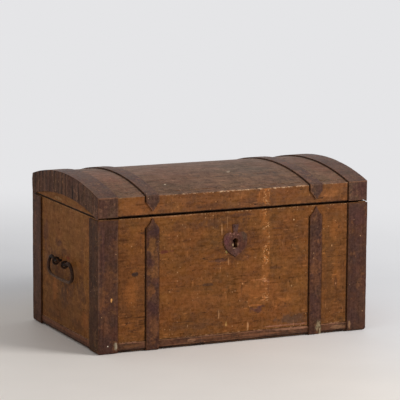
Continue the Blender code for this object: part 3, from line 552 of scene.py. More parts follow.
def dress(tree, colour, roughness, height, depth, metallic=None):
    bump = put(tree, "Bump", {"Height": height, "Distance": depth, "Strength": 1.0})
    shader = tree.nodes["Principled BSDF"].inputs
    tree.links.new(colour, shader["Base Color"])
    tree.links.new(roughness, shader["Roughness"])
    tree.links.new(bump.outputs[0], shader["Normal"])
    if metallic is not None:
        tree.links.new(metallic, shader["Metallic"])


def turned(tree, vector, angle):
    """Turns a pattern flat, so that what was along X follows another way of the board."""
    values = {"Vector": vector, "Rotation": (0.0, 0.0, math.radians(angle))}
    return put(tree, "Mapping", values).outputs[0]


def painted_finish(name, turn, browns, marks=(), blank_axis=1, edge=0.5, sheen=0.06, **amounts):
    """Grained paint over wood, worn to pale wood along its edges, with its own marks."""
    finish, tree, place = new_finish(name, sheen)
    values = {"Vector": turned(tree, place, turn)}
    for label, brown in zip(("Deep", "Middle", "Bright", "Dirt", "Fleck"), browns):
        values[label] = tone(*brown)
    values |= {label.capitalize(): amount for label, amount in amounts.items()}
    paint = effect(tree, "old grained paint", **values)
    colour = add_marks(tree, place, paint, marks, blank_axis)
    worn = effect(tree, "edge wear", Vector=place, Amount=edge)[0]
    colour = laid(tree, colour, values["Fleck"], worn, 0.75)
    height = plus(tree, paint["Height"], worn, -0.4)
    dress(tree, colour, paint["Roughness"], height, RELIEF)
    return finish


def bare_finish(name, turn):
    finish, tree, place = new_finish(name)
    vector = turned(tree, place, turn)
    wood = effect(tree, "bare wood", Vector=vector, Pale=PALE_WOOD, Dark=DARK_WOOD)
    dress(tree, wood["Color"], wood["Roughness"], wood["Height"], RELIEF)
    return finish


def located(tree):
    """The place on the piece, whole and in its three parts."""
    place = put(tree, "TexCoord").outputs["Object"]
    return place, put(tree, "SeparateXYZ", {0: place}).outputs


def paint_over(tree, paint, *masks):
    """Lays one more paint over the colour that a finish has."""
    colour = tree.nodes["Principled BSDF"].inputs["Base Color"]
    tree.links.new(laid(tree, colour.links[0].from_socket, paint, *masks), colour)


def add_shade_and_dirt_lines(finish, axis, lines, low=-1.0, high=1.0):
    """Painted shade and dirt in dark lines beside the irons and along seams, between two heights.

    Each line is (place, half width, share), in mm.
    """
    tree = finish.node_tree
    place, parts = located(tree)
    uneven = reckon(tree, "SUBTRACT", clouds(tree, place, 140.0, 4.0, 0.7), 0.5)
    at = plus(tree, parts[axis], uneven, 0.003)
    within = times(
        tree,
        ease(tree, parts["Z"], low, low + 0.004),
        ease(tree, parts["Z"], high, high - 0.008),
    )
    for middle, half, share in lines:
        near = ease(tree, apart(tree, at, middle / 1000), half / 1000, half / 2000)
        # The dark colour laid here is painted shade, with some dirt.
        paint_over(tree, tone(22, 14, 11), near, within, share)


ALONG_X = 0
ALONG_Y = 90
PALE = (176, 128, 86)
ORANGE = (158, 94, 44)
UMBER = (58, 38, 29)
PLUM = (72, 49, 43)
STRIP_BROWNS = ((64, 39, 26), (80, 48, 31), (96, 58, 37), (44, 29, 23), (144, 98, 72))
STRIP_MARKS = [
    (133, 17, 46, 2.6, (142, 100, 76), 0.65),
    (60, 12, 60, 2.4, (122, 80, 56), 0.6),
    (-60, 15, 55, 2.2, (112, 72, 48), 0.6),
    (-120, 7, 40, 2.0, (124, 84, 58), 0.5),
    (0, 6, 50, 2.0, (122, 82, 58), 0.5),
    (236, 12, 18, 4, (138, 100, 72), 0.6),
    (-225, 13, 20, 4, (104, 68, 42), 0.5),
    (-95, 13, 10, 4, (150, 108, 80), 0.5),
    (-297, 15, 9, 3.4, (122, 76, 52), 0.65),
]
SHADE_UNDER_BOTTOM = [(1000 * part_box("bottom_board")[0].z, 4.6, 0.95)]
PALE_WOOD = tone(122, 84, 54)
DARK_WOOD = tone(78, 50, 32)
strip_paint = painted_finish(
    "strip_paint", ALONG_X, STRIP_BROWNS, STRIP_MARKS, flecks=1.4, cracks=1.6, edge=0.6
)
# A dark line of painted shade along the strip's lower edge, where the board stands clear of the
# floor.
add_shade_and_dirt_lines(strip_paint, "Z", SHADE_UNDER_BOTTOM)
bare_along_x = bare_finish("bare_along_x", ALONG_X)
bare_along_y = bare_finish("bare_along_y", ALONG_Y)

steps = (0.010, 0.012, 0.006)
shape = wear_down(copy_of("bottom_board"), 0.0005, steps, dent=0.0003, chip=0.0016, seed=3.0)
sort_faces(shape, lambda face: int(abs(face.normal.z) > 0.7))
finishes = (strip_paint, bare_along_x)
add_piece("nailed_bottom", shape, finishes, "case", "floor_wood", "bottom_board")

# The front board is one wide board, dovetailed at both ends under the irons. It is grained in
# orange-brown paint, scratched beside the key plate and flaked in a line below the lid's scar.
BOARD_ROUNDING = 0.0008
FRONT_BROWNS = ((92, 55, 25), (105, 62, 25), (115, 68, 27), (66, 40, 26), (186, 142, 100))
FRONT_MARKS = [
    (-244, 140, 14, 110, (84, 50, 28), 0.55),
    (-210, 140, 14, 110, (88, 53, 29), 0.5),
    (244, 140, 12, 110, (86, 54, 30), 0.5),
    (0, 203, 36, 42, (70, 44, 32), 0.5),
    (-219, 158, 8, 4.6, (44, 35, 32), 0.85),
    (-157, 198, 9, 4, (88, 44, 33), 0.8),
    (-140, 199, 5, 2, (88, 44, 33), 0.6),
    (-34, 172, 14, 4, PLUM, 0.6),
    (-52, 171, 8, 2.5, PLUM, 0.4),
    (90, 148, 16, 4, UMBER, 0.55),
    (48, 64, 16, 5, (70, 45, 48), 0.6),
    (62, 70, 9, 3, (70, 45, 48), 0.4),
    (-29.7, 234, 1.5, 16, PALE, 0.55),
    (-17.5, 250, 1.2, 14, PALE, 0.3),
    (66, 246, 9, 26, ORANGE, 0.4),
    (69, 150, 9, 34, ORANGE, 0.3),
    (55, 125.5, 22, 1.5, (170, 108, 68), 0.55),
    (67, 121.6, 4, 1.5, (196, 134, 102), 0.6),
    (75, 121, 3, 3.4, (84, 48, 50), 0.6),
    (71.8, 105.7, 4, 1.5, PALE, 0.6),
    (71.2, 87, 5.5, 2.0, (196, 142, 98), 0.6),
    (63, 83, 7, 1.6, (176, 112, 66), 0.6),
    (46, 73, 18, 2.2, (152, 92, 48), 0.6),
    (31, 80, 2.4, 8, (150, 90, 46), 0.4),
    # A thin painted shadow beside the flaked band.
    (76, 108, 1.6, 17, UMBER, 0.5),
    (15.2, 107, 1.6, 13, UMBER, 0.5),
    (45, 100, 18, 16, (138, 80, 38), 0.35),
    (128, 38, 38, 10, (80, 58, 46), 0.7),
    (118, 150, 22, 24, (122, 74, 34), 0.4),
    (-99, 42, 50, 6, (86, 58, 42), 0.35),
    (18, 252, 3.4, 2.6, UMBER, 0.6),
    (30, 253, 2.6, 2.2, UMBER, 0.5),
    (30, 30, 2.6, 11, (186, 136, 92), 0.6),
    (214, 140, 16, 110, (84, 53, 29), 0.5),
    (224, 214, 10, 16, ORANGE, 0.3),
    (232, 120, 10, 22, ORANGE, 0.25),
    (-228, 120, 13, 22, ORANGE, 0.3),
    (-70, 95, 60, 16, (132, 80, 42), 0.35),
    (50, 105, 46, 20, (140, 84, 42), 0.4),
    (110, 80, 24, 9, (150, 92, 46), 0.5),
    (-110, 245, 40, 10, (80, 52, 36), 0.4),
    (-50, 250, 26, 9, (74, 50, 38), 0.5),
    (10, 262, 30, 4, (74, 48, 36), 0.5),
    (92, 229, 14, 2, UMBER, 0.5),
    (96, 215, 10, 2, UMBER, 0.35),
    (-203, 240, 12, 3, UMBER, 0.5),
    (-207, 226, 2.5, 16, UMBER, 0.35),
    (-130, 125, 22, 1.2, (38, 25, 20), 0.25),
    (-116, 52, 30, 0.9, (38, 25, 20), 0.55),
    (-60, 124, 14, 3.5, (66, 48, 38), 0.6),
    (230, 104, 4, 18, UMBER, 0.4),
    (-35.4, 60, 1.8, 9, PALE, 0.55),
    (-19, 40, 1.8, 5, (176, 140, 82), 0.45),
    (120, 26, 60, 2.0, (150, 102, 80), 0.55),
    (132, 244, 1.3, 1.6, (200, 158, 112), 0.7),
    (220, 184, 1.3, 2.4, (190, 140, 92), 0.65),
    (230, 104, 1.3, 2.4, (186, 132, 92), 0.6),
    (128, 107, 1.4, 1.8, (196, 150, 100), 0.65),
    (17.3, 120, 1.6, 1.6, PALE, 0.6),
    # A painted glint, pale olive, beside the key plate's lower left edge.
    (-19, 189, 2.0, 5, (160, 142, 78), 0.5),
    (-14.7, 168, 1.5, 9, PALE, 0.4),
    (20, 271.5, 130, 1.0, (186, 134, 96), 0.6),
    (-150, 269, 60, 1.2, (150, 104, 72), 0.5),
    (200, 272, 50, 1.0, (176, 128, 90), 0.5),
]
FLAKES_AT = 0.0695
FLAKES_HALF = 0.011
# Lines of painted shadow and dirt beside the irons, wider on the left sides, away from the key
# light.
BESIDE_STRAPS = [(-197.3, 1.7, 0.9), (-166.9, 1.0, 0.5), (166.7, 1.7, 0.9), (197.2, 1.0, 0.5)]
BESIDE_CORNERS = [(255.2, 1.7, 0.85), (-255.4, 1.0, 0.35)]
STRAP_SHOULDER = 0.2545


def add_flakes(finish, low, high, share):
    """A ragged upright line of orange and pale flakes, as where a strap once rubbed."""
    tree = finish.node_tree
    place, parts = located(tree)
    near = ease(tree, apart(tree, parts["X"], FLAKES_AT), FLAKES_HALF, 0.0)
    within = times(
        tree, ease(tree, parts["Z"], low, low + 0.01), ease(tree, parts["Z"], high, high - 0.01)
    )
    clumps = patches(tree, stretch(tree, place, 1, 1, 1, 2.9), 34.0, 0.36, 0.52, 3.0)
    curls = clouds(tree, stretch(tree, place, 1.0, 1.0, 1.1, 6.6), 105.0, 2.0, 0.5)
    curls = ease(tree, apart(tree, curls, 0.5), 0.055, 0.028)
    flaked = times(tree, curls, within, ease(tree, near, 0.05, 0.4), clumps)
    pale = patches(tree, place, 300.0, 0.46, 0.60)
    paint = mixed(tree, pale, tone(164, 98, 46), tone(204, 156, 108))
    paint_over(tree, paint, flaked, share)


front_paint = painted_finish(
    "front_paint",
    ALONG_X,
    FRONT_BROWNS,
    FRONT_MARKS,
    edge=0.3,
    dust=0.025,
    contrast=1.25,
    strokes=0.6,
)
add_flakes(front_paint, low=0.076, high=0.274, share=0.75)
# Painted shadow and dirt beside the corner irons and the straps.
add_shade_and_dirt_lines(front_paint, "X", BESIDE_CORNERS)
add_shade_and_dirt_lines(front_paint, "X", BESIDE_STRAPS, high=STRAP_SHOULDER)

steps = (0.010, 0, 0.010)
shape = copy_of("front_board")
wear_down(shape, BOARD_ROUNDING, steps, dent=0.0003, chip=0.0016, seed=1.0)
sort_faces(shape, lambda face: int(face.normal.y > -0.3))
finishes = (front_paint, bare_along_x)
add_piece("grained_front", shape, finishes, "case", "grained_wood", "front_board")

# The back board is dovetailed and painted like the front one, but it has stood to the wall and
# seen less wear. The hinge straps are nailed to it.
BACK_BROWNS = ((90, 55, 33), (108, 66, 36), (126, 78, 40), (60, 38, 28), (168, 118, 72))
BACK_MARKS = [
    (-90, 200, 26, 5, UMBER, 0.5),
    (60, 120, 34, 8, (84, 54, 38), 0.5),
    (150, 60, 3, 22, PALE, 0.4),
    (20, 236, 40, 6, (78, 50, 36), 0.5),
    (-40, 40, 60, 8, ORANGE, 0.4),
    (-235, 150, 14, 30, ORANGE, 0.35),
]
back_paint = painted_finish("back_paint", ALONG_X, BACK_BROWNS, BACK_MARKS)
steps = (0.012, 0, 0.012)
shape = copy_of("back_board")
wear_down(shape, BOARD_ROUNDING, steps, dent=0.0003, chip=0.0014, seed=5.0)
sort_faces(shape, lambda face: int(face.normal.y < 0.3))
finishes = (back_paint, bare_along_x)
add_piece("grained_back", shape, finishes, "case", "grained_wood", "back_board")

# The end boards run from front to back between the irons. Their paint is darker below the
# handles, and on the left board it is darker towards the bottom.
ENDS = (("left", -1), ("right", 1))
END_BROWNS = ((110, 68, 32), (125, 78, 35), (138, 87, 40), (70, 44, 28), (170, 122, 78))
END_MARKS = {
    "left": [
        (0, 50, 200, 80, (84, 52, 28), 0.5),
        (34, 191, 18, 8, (72, 44, 40), 0.6),
        (-18, 167, 9, 3, (122, 52, 36), 0.7),
        (0, 176, 26, 8, (70, 46, 34), 0.5),
        (2, 90, 22, 28, (72, 50, 40), 0.6),
        (108, 200, 16, 34, (84, 54, 47), 0.5),
        (-60, 205, 18, 40, (122, 78, 40), 0.4),
        (70, 150, 30, 26, (82, 54, 42), 0.4),
        (-90, 110, 22, 30, (80, 52, 38), 0.4),
        (56, 91, 13, 24, (146, 88, 44), 0.6),
        (-110, 57, 14, 20, (142, 84, 42), 0.6),
        (-30, 105, 14, 40, (84, 54, 38), 0.35),
        (20, 140, 46, 22, (84, 54, 37), 0.45),
        (-70, 40, 40, 10, (76, 49, 36), 0.45),
        (60, 36, 50, 9, (80, 52, 38), 0.4),
        (-95, 160, 10, 60, (86, 56, 38), 0.4),
        (100, 160, 10, 60, (92, 60, 40), 0.35),
    ],
    "right": [
        (-30, 190, 16, 8, (82, 54, 40), 0.5),
        (0, 92, 24, 22, (74, 47, 34), 0.5),
        (-60, 60, 14, 18, (146, 88, 46), 0.5),
        (20, 140, 44, 20, (84, 54, 37), 0.45),
        (80, 210, 20, 5, UMBER, 0.4),
        (40, 40, 50, 9, (80, 52, 38), 0.4),
    ],
}
# Painted shadow and dirt beside the corner irons' side legs, and painted shade along the seam
# under the lid.
BESIDE_SIDE_LEGS = [(128.2, 2.4, 0.9), (-136.8, 1.2, 0.4)]
SHADE_UNDER_LID = [(272.6, 1.6, 0.6)]
amounts = {"flecks": 0.7, "cracks": 0.7, "dust": 0.03}
for end, side in ENDS:
    end_paint = painted_finish(
        f"{end}_end_paint", ALONG_Y, END_BROWNS, END_MARKS[end], 0, sheen=0.03, **amounts
    )
    add_shade_and_dirt_lines(end_paint, "Y", BESIDE_SIDE_LEGS)
    add_shade_and_dirt_lines(end_paint, "Z", SHADE_UNDER_LID)
    node = f"{end}_end_board"
    shape, steps, seed = copy_of(node), (0, 0.010, 0.010), 9.0 + 2 * side
    wear_down(shape, BOARD_ROUNDING, steps, dent=0.0003, chip=0.0014, seed=seed)
    sort_faces(shape, lambda face: int(face.normal.x * side < 0.3))
    finishes = (end_paint, bare_along_y)
    add_piece(f"grained_{end}_end", shape, finishes, "case", "grained_wood", node)

# The corner irons are angles of sheet iron, nailed through both legs and folded under the bottom
# board as feet. They were painted with the chest and have worn to a dark purple-brown.
FACES = (("front", -1), ("back", 1))
NAIL_RADIUS = 0.0023
NAIL_TOP = 0.0011
NAIL_RISE = 0.0009
NAIL_SIDES = 12
NAIL_WEAR = 0.6

tree, given = new_group(
    "old iron",
    Vector="Vector",
    Dark="Color",
    Middle="Color",
    Worn="Color",
    Fleck="Color",
    Wear=0.5,
    Contrast=1.0,
)
place = given["Vector"]
broad = clouds(tree, place, 26.0, 6.0, 0.7)
colour = mixed(tree, ease(tree, broad, 0.40, 0.60), given["Dark"], given["Middle"])
ragged = clouds(tree, place, 130.0, 6.0, 0.75)
rubbed = plus(tree, clouds(tree, place, 33.0, 3.0), given["Wear"], 0.16)
rubbed = plus(tree, rubbed, reckon(tree, "SUBTRACT", ragged, 0.5), 0.9)
rubbed = ease(tree, rubbed, 0.64, 0.71)
colour = laid(tree, colour, given["Worn"], rubbed, 0.6)
colour = tinged(tree, stretch(tree, place, 1, 1, 0.7, 12.3), 40.0, colour, 0.16)
streaks = clouds(tree, stretch(tree, place, 240, 240, 22), 1.0, 4.0, 0.65)
fine = clouds(tree, place, 210.0, 6.0, 0.8)
texture = times(
    tree,
    ease(tree, ragged, 0.32, 0.68, 0.86, 1.14),
    ease(tree, streaks, 0.32, 0.68, 0.88, 1.12),
    ease(tree, fine, 0.34, 0.66, 0.80, 1.20),
)
texture = reckon(tree, "POWER", texture, given["Contrast"])
colour = roughened(tree, colour, texture, 0.02, tone(150, 136, 126))
pits = specks(tree, place, 230.0, 0.27, 0.20)
colour = laid(tree, colour, tone(34, 22, 19), pits, 0.6)
flecks = specks(tree, stretch(tree, place, 1, 1, 1, 3.3), 130.0, 0.17, 0.05)
colour = laid(tree, colour, given["Fleck"], flecks, 0.7)
height = plus(tree, reckon(tree, "MULTIPLY", fine, 0.2), ragged, 0.5)
for dip, depth in ((pits, -0.6), (rubbed, -0.2)):
    height = plus(tree, height, dip, depth)
give(
    tree,
    Color=colour,
    Roughness=ease(tree, ragged, 0.3, 0.7, 0.44, 0.62),
    Height=height,
    Ragged=clouds(tree, stretch(tree, place, 1, 1, 1, 7.2), 75.0, 7.0, 0.75),
    Grain=texture,
)


def iron_finish(
    name, browns, wear, marks=(), blank_axis=1, edge=0.45, shine=0.08, sheen=0.1, contrast=1.0
):
    """Sheet iron under old paint, with rubbed edges and painted shade and dirt in its folds."""
    finish, tree, place = new_finish(name, sheen)
    values = {"Vector": place, "Wear": wear, "Contrast": contrast}
    for label, brown in zip(("Dark", "Middle", "Worn", "Fleck"), browns):
        values[label] = tone(*brown)
    iron = effect(tree, "old iron", **values)
    colour = add_marks(tree, place, iron, marks, blank_axis)
    worn = effect(tree, "edge wear", Vector=place, Amount=edge)[0]
    colour = laid(tree, colour, values["Worn"], worn, 0.6)
    # Where a piece marks them, folds and shaded edges are darkened with painted shade and dirt.
    folds = put(tree, "Attribute", attribute_name="shade_and_dirt").outputs["Fac"]
    colour = laid(tree, colour, tone(22, 14, 12), ease(tree, folds, 0.2, 0.85), 0.9)
    metal = reckon(tree, "MULTIPLY_ADD", worn, 0.3, shine)
    dress(tree, colour, iron["Roughness"], iron["Height"], 0.00025, metal)
    return finish


def add_nail_heads(shape, places):
    """Nail heads at places on an iron's face, driven in until their tops are level with it."""
    for at, out in places:
        turn = Vector(out).to_track_quat("Z", "Y").to_matrix().to_4x4()
        middle = Vector(at) - Vector(out) * NAIL_RISE / 2
        made = bmesh.ops.create_cone(
            shape,
            cap_ends=True,
            segments=NAIL_SIDES,
            radius1=NAIL_RADIUS,
            radius2=NAIL_TOP,
            depth=NAIL_RISE,
            matrix=Matrix.Translation(middle) @ turn,
        )
        edge = shape.verts.layers.float["edge"]
        for vert in made["verts"]:
            vert[edge] = NAIL_WEAR


IRON_BROWNS = ((61, 36, 27), (73, 43, 28), (94, 57, 30), (190, 146, 104))
SIDE_BROWNS = ((62, 39, 27), (77, 50, 34), (102, 68, 45), (160, 124, 92))
CORNER_MARKS = [
    (-290, 108, 10, 18, (108, 66, 36), 0.5),
    (-277, 148, 12, 32, (100, 62, 36), 0.4),
    (-271, 109, 1.8, 4.2, (206, 146, 82), 0.85),
    (-262, 15, 4.0, 10, (136, 124, 102), 0.5),
    (-261, 16, 1.4, 6, (180, 168, 144), 0.5),
    (-279, 17, 1.4, 1.6, (226, 212, 190), 0.9),
    (-285, 60, 8, 20, (112, 70, 44), 0.4),
    (262, 15, 3, 8, (150, 112, 80), 0.6),
    (282, 240, 14, 20, (78, 48, 42), 0.5),
    # A painted highlight down the rounded front corner of the left iron.
    (-298, 170, 1.6, 110, (92, 70, 58), 0.5),
    (-293, 190, 1.4, 90, (50, 32, 30), 0.5),
    (-288, 210, 3, 60, (84, 54, 48), 0.4),
    (-258.5, 180, 1.2, 80, (100, 70, 46), 0.4),
]
BACK_CORNER_MARKS = [
    (-280, 60, 11, 26, (104, 64, 36), 0.45),
    (-272, 200, 9, 18, (98, 60, 36), 0.4),
    (284, 130, 10, 30, (104, 64, 38), 0.45),
    (270, 30, 9, 12, (112, 70, 42), 0.4),
]
SIDE_MARKS = [
    (150, 150, 22, 150, (96, 68, 58), 0.55),
    (162, 210, 8, 40, (112, 78, 66), 0.4),
    (-160, 200, 6, 70, (74, 54, 44), 0.5),
]
corner_iron = iron_finish("corner_iron", IRON_BROWNS, 0.35, CORNER_MARKS)
back_corner_iron = iron_finish("back_corner_iron", IRON_BROWNS, 0.35, BACK_CORNER_MARKS)
dull = {"shine": 0, "sheen": 0.03}
side_iron = iron_finish(
    "corner_side_iron", SIDE_BROWNS, 0.4, SIDE_MARKS, 0, edge=0.3, contrast=1.2, **dull
)
SHEET_ROUNDING = 0.0007
CORNER_NAILS = (0.022, 0.078, 0.132, 0.190, 0.246)
FRONT_NAILS_IN = 0.024
SIDE_NAILS_IN = 0.028
NAIL_STRAY = 0.004
NAIL_STAGGER = 0.003
MIDDLE_Y = (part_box("corner_iron_front_left")[0].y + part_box("corner_iron_back_left")[1].y) / 2
for end, side in ENDS:
    for face, fore in FACES:
        node = f"corner_iron_{face}_{end}"
        low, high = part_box(node)
        face_y = low.y if fore < 0 else high.y
        end_x = low.x if side < 0 else high.x
        nails = []
        for i, z in enumerate(CORNER_NAILS):
            stray = NAIL_STRAY * noise.noise(Vector((i, side, fore)))
            stagger = NAIL_STAGGER * (i % 2)
            nail_x = end_x - side * (FRONT_NAILS_IN + stagger)
            nail_y = face_y - fore * (SIDE_NAILS_IN - stagger)
            nails.append(((nail_x, face_y, z + stray), (0, fore, 0)))
            nails.append(((end_x, nail_y, z - stray), (side, 0, 0)))
        shape, steps, seed = copy_of(node), (0.009, 0.009, 0.008), 13.0 + 3 * side + fore
        wear_down(shape, SHEET_ROUNDING, steps, 0.00035, 0.0012, seed, shortest=0.002)
        add_nail_heads(shape, nails)
        sort_faces(shape, lambda face: int(abs(face.normal.x) > 0.7))
        finishes = (corner_iron if fore < 0 else back_corner_iron, side_iron)
        add_piece(f"angle_{face}_{end}", shape, finishes, "case", "strap_iron", node)

# Two straps of sheet iron run down the front, either side of the key plate. Each is cut to a
# point above, nailed all the way down, and folded under the bottom board as a foot.
STRAP_MARKS = [
    (-183, 214, 10, 17, (112, 72, 36), 0.75),
    (-177, 188, 8, 14, (104, 66, 36), 0.65),
    (-180, 158, 11, 18, (114, 72, 38), 0.75),
    (-185, 122, 10, 15, (110, 68, 37), 0.7),
    (-181, 46, 11, 26, (106, 66, 40), 0.65),
    (-186, 178, 8, 9, (62, 36, 36), 0.6),
    (-177, 140, 9, 7, (60, 36, 36), 0.6),
    (-182, 86, 12, 17, (58, 34, 33), 0.6),
    (-180, 240, 11, 9, (58, 37, 38), 0.6),
    (190, 19, 5.6, 9, (152, 136, 104), 0.7),
    (194, 8, 3.0, 9, (164, 146, 112), 0.7),
    (182, 130, 12, 30, (104, 64, 38), 0.5),
    (180, 60, 12, 34, (62, 38, 34), 0.5),
]
strap_iron = iron_finish("front_strap_iron", IRON_BROWNS, 0.4, STRAP_MARKS, contrast=1.5)
STRAP_NAILS = (0.018, 0.072, 0.128, 0.184, 0.240)
STRAP_NAIL_STRAY = 0.003
for end, side in ENDS:
    node = f"front_strap_{end}"
    low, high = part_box(node)
    middle = (low.x + high.x) / 2
    nails = []
    for i, z in enumerate(STRAP_NAILS):
        stray = STRAP_NAIL_STRAY * noise.noise(Vector((i, side, 4.0)))
        nails.append(((middle + stray, low.y, z + stray), (0, -1, 0)))
    shape, steps = copy_of(node), (0.007, 0.012, 0.008)
    wear_down(shape, SHEET_ROUNDING, steps, 0.00035, 0.0012, 23.0 + side, shortest=0.002)
    add_nail_heads(shape, nails)
    add_piece(f"strap_front_{end}", shape, (strap_iron,), "case", "strap_iron", node)

# The lid is a shallow dome of five boards on two rails and two shaped ends. Its top is dulled
# and greyed by dust and rubbing, and the arris above the front rail is chipped to pale wood.
RAIL_BROWNS = ((93, 56, 30), (107, 64, 30), (121, 72, 33), (62, 42, 34), (186, 132, 80))
RAIL_MARKS = [
    (64, 296, 16, 14, (156, 92, 42), 0.4),
    (-222, 289, 20, 13, (134, 82, 42), 0.5),
    (-60, 284, 40, 5, (78, 50, 34), 0.5),
    (150, 285, 24, 7, (92, 58, 38), 0.45),
    (-120, 300, 20, 5, (126, 80, 48), 0.4),
    (215, 295, 18, 9, (138, 86, 46), 0.5),
    (20, 290, 10, 10, (124, 76, 44), 0.4),
]
DOME_BROWNS = ((80, 54, 36), (97, 65, 43), (114, 75, 47), (66, 47, 36), (176, 140, 106))
DOME_MARKS = [
    (33, -76, 4, 2.4, (214, 196, 170), 0.85),
    (38, -70, 2.4, 1.6, (214, 196, 170), 0.8),
    (-132, -130, 3, 2, (206, 186, 160), 0.8),
    (-60, -40, 26, 3, (144, 112, 90), 0.5),
    (-30, -20, 20, 2.5, (144, 112, 90), 0.4),
    (85, -60, 56, 40, (66, 56, 44), 0.5),
    (40, -20, 40, 20, (74, 60, 47), 0.4),
    (100, -110, 44, 14, (64, 52, 41), 0.4),
    (-100, -70, 60, 50, (108, 66, 44), 0.4),
    (-60, 10, 90, 30, (118, 78, 56), 0.3),
    (-230, -60, 26, 80, (116, 70, 48), 0.55),
    (235, -60, 18, 80, (112, 68, 48), 0.5),
    (150, -30, 50, 30, (104, 68, 48), 0.4),
    (120, -140, 60, 12, (78, 54, 42), 0.4),
    (-60, -110, 70, 2.0, (140, 104, 78), 0.5),
    (20, -128, 50, 1.8, (138, 100, 74), 0.5),
    (-120, -90, 34, 1.8, (144, 108, 82), 0.5),
    (90, -50, 60, 2.6, (144, 112, 88), 0.5),
    (-60, -66, 40, 2.6, (60, 42, 34), 0.5),
    (-140, -60, 24, 3.0, (62, 44, 36), 0.5),
    (30, -104, 46, 3.0, (58, 42, 34), 0.5),
    (-10, -30, 50, 4.0, (118, 76, 52), 0.5),
    (120, -100, 40, 3.0, (60, 46, 38), 0.5),
]
LID_POINT = 0.2985
RAIL_SEAM_SHADE = [(274.6, 2.6, 0.9)]
RAIL_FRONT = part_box("lid_front_rail")[0].y
LID_SIDE = 0.0396
RAIL_RAISE = 0.0012
ARRIS_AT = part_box("lid_front_rail")[0].z + LID_SIDE - RAIL_RAISE


def add_chipped_arris(finish, below, above):
    """Pale chips along the front arris of the dome, thickest between the straps."""
    tree = finish.node_tree
    place, parts = located(tree)
    under = ease(tree, parts["Z"], ARRIS_AT - below, ARRIS_AT - below * 0.2)
    behind = ease(tree, parts["Y"], RAIL_FRONT + above, RAIL_FRONT + above * 0.2)
    near = times(tree, under, behind)
    between = ease(tree, reckon(tree, "ABSOLUTE", parts["X"]), 0.24, 0.10, 0.0, 0.06)
    sparse = clouds(tree, stretch(tree, place, 1, 1, 1, 4.2), 26.0, 3.0, 0.6)
    between = plus(tree, between, reckon(tree, "SUBTRACT", sparse, 0.5), 0.7)
    ragged = clouds(tree, stretch(tree, place, 0.45, 1.0, 1.0, 5.9), 170.0, 5.0, 0.7)
    chipped = plus(tree, reckon(tree, "ADD", ragged, between), near, 0.16)
    chipped = times(tree, ease(tree, chipped, 0.73, 0.80), ease(tree, near, 0.02, 0.3))
    share = ease(tree, parts["X"], -0.18, -0.08, 0.15, 0.75)
    pale = patches(tree, place, 400.0, 0.4, 0.6)
    paint = mixed(tree, pale, tone(156, 106, 72), tone(206, 172, 136))
    paint_over(tree, paint, chipped, share)


rail_paint = painted_finish("rail_paint", ALONG_X, RAIL_BROWNS, RAIL_MARKS, edge=0.1)
add_flakes(rail_paint, low=0.270, high=0.325, share=0.5)
# Painted shadow and dirt beside the irons, and painted shade along the seam at the rail's lower
# edge.
add_shade_and_dirt_lines(rail_paint, "X", BESIDE_CORNERS)
add_shade_and_dirt_lines(rail_paint, "X", BESIDE_STRAPS, low=LID_POINT)
add_shade_and_dirt_lines(rail_paint, "Z", RAIL_SEAM_SHADE)
add_chipped_arris(rail_paint, below=0.0036, above=0.004)
amounts = {"dust": 0.07, "contrast": 1.3, "strokes": 0.0, "cracks": 0.5}
dome_paint = painted_finish(
    "dome_paint", ALONG_X, DOME_BROWNS, DOME_MARKS, 2, edge=0.2, sheen=0.12, **amounts
)
# Painted shadow and dirt beside the irons, on the dome.
add_shade_and_dirt_lines(dome_paint, "X", BESIDE_CORNERS + BESIDE_STRAPS)
add_chipped_arris(dome_paint, below=0.004, above=0.0042)
RAIL_STEPS = {"front": (0.004, 0.006, 0.006), "back": (0.012, 0.009, 0.009)}
for face, fore in FACES:
    node = f"lid_{face}_rail"
    shape = copy_of(node)
    wear_down(shape, 0.0009, RAIL_STEPS[face], dent=0.00025, chip=0.0026, seed=31.0 + fore)
    sort_faces(
        shape,
        lambda face: 1 if face.normal.z > 0.75 else 0 if face.normal.y * fore > 0.2 else 2,
    )
    finishes = (rail_paint, dome_paint, bare_along_x)
    add_piece(f"painted_{face}_rail", shape, finishes, "lid", "grained_wood", node)

# Each end of the lid is a board sawn to the dome's curve, and carries the dome boards. It has
# the end boards' paint, and the tabs of the edge iron are hammered down over its upper part.
LID_END_MARKS = {
    "left": [
        (37, 282, 22, 4, (160, 118, 76), 0.55),
        (-60, 279, 30, 4, (132, 84, 50), 0.4),
        (100, 279, 20, 4, (140, 90, 54), 0.4),
    ],
    "right": [(-20, 281, 30, 4, (140, 92, 56), 0.5)],
}
LID_END_SEAM_SHADE = [(274.2, 1.8, 0.95)]
for end, side in ENDS:
    lid_end_paint = painted_finish(
        f"lid_{end}_end_paint", ALONG_Y, END_BROWNS, LID_END_MARKS[end], 0, sheen=0.03, dust=0.03
    )
    # Painted shade along the seam at the lid end's lower edge.
    add_shade_and_dirt_lines(lid_end_paint, "Z", LID_END_SEAM_SHADE)
    node = f"lid_{end}_end"
    shape, steps = copy_of(node), (0, 0.010, 0.008)
    wear_down(shape, 0.0007, steps, dent=0.00025, chip=0.0012, seed=42.0 + side)
    sort_faces(shape, lambda face: int(face.normal.x * side < 0.3))
    finishes = (lid_end_paint, bare_along_y)
    add_piece(f"painted_lid_{end}_end", shape, finishes, "lid", "grained_wood", node)

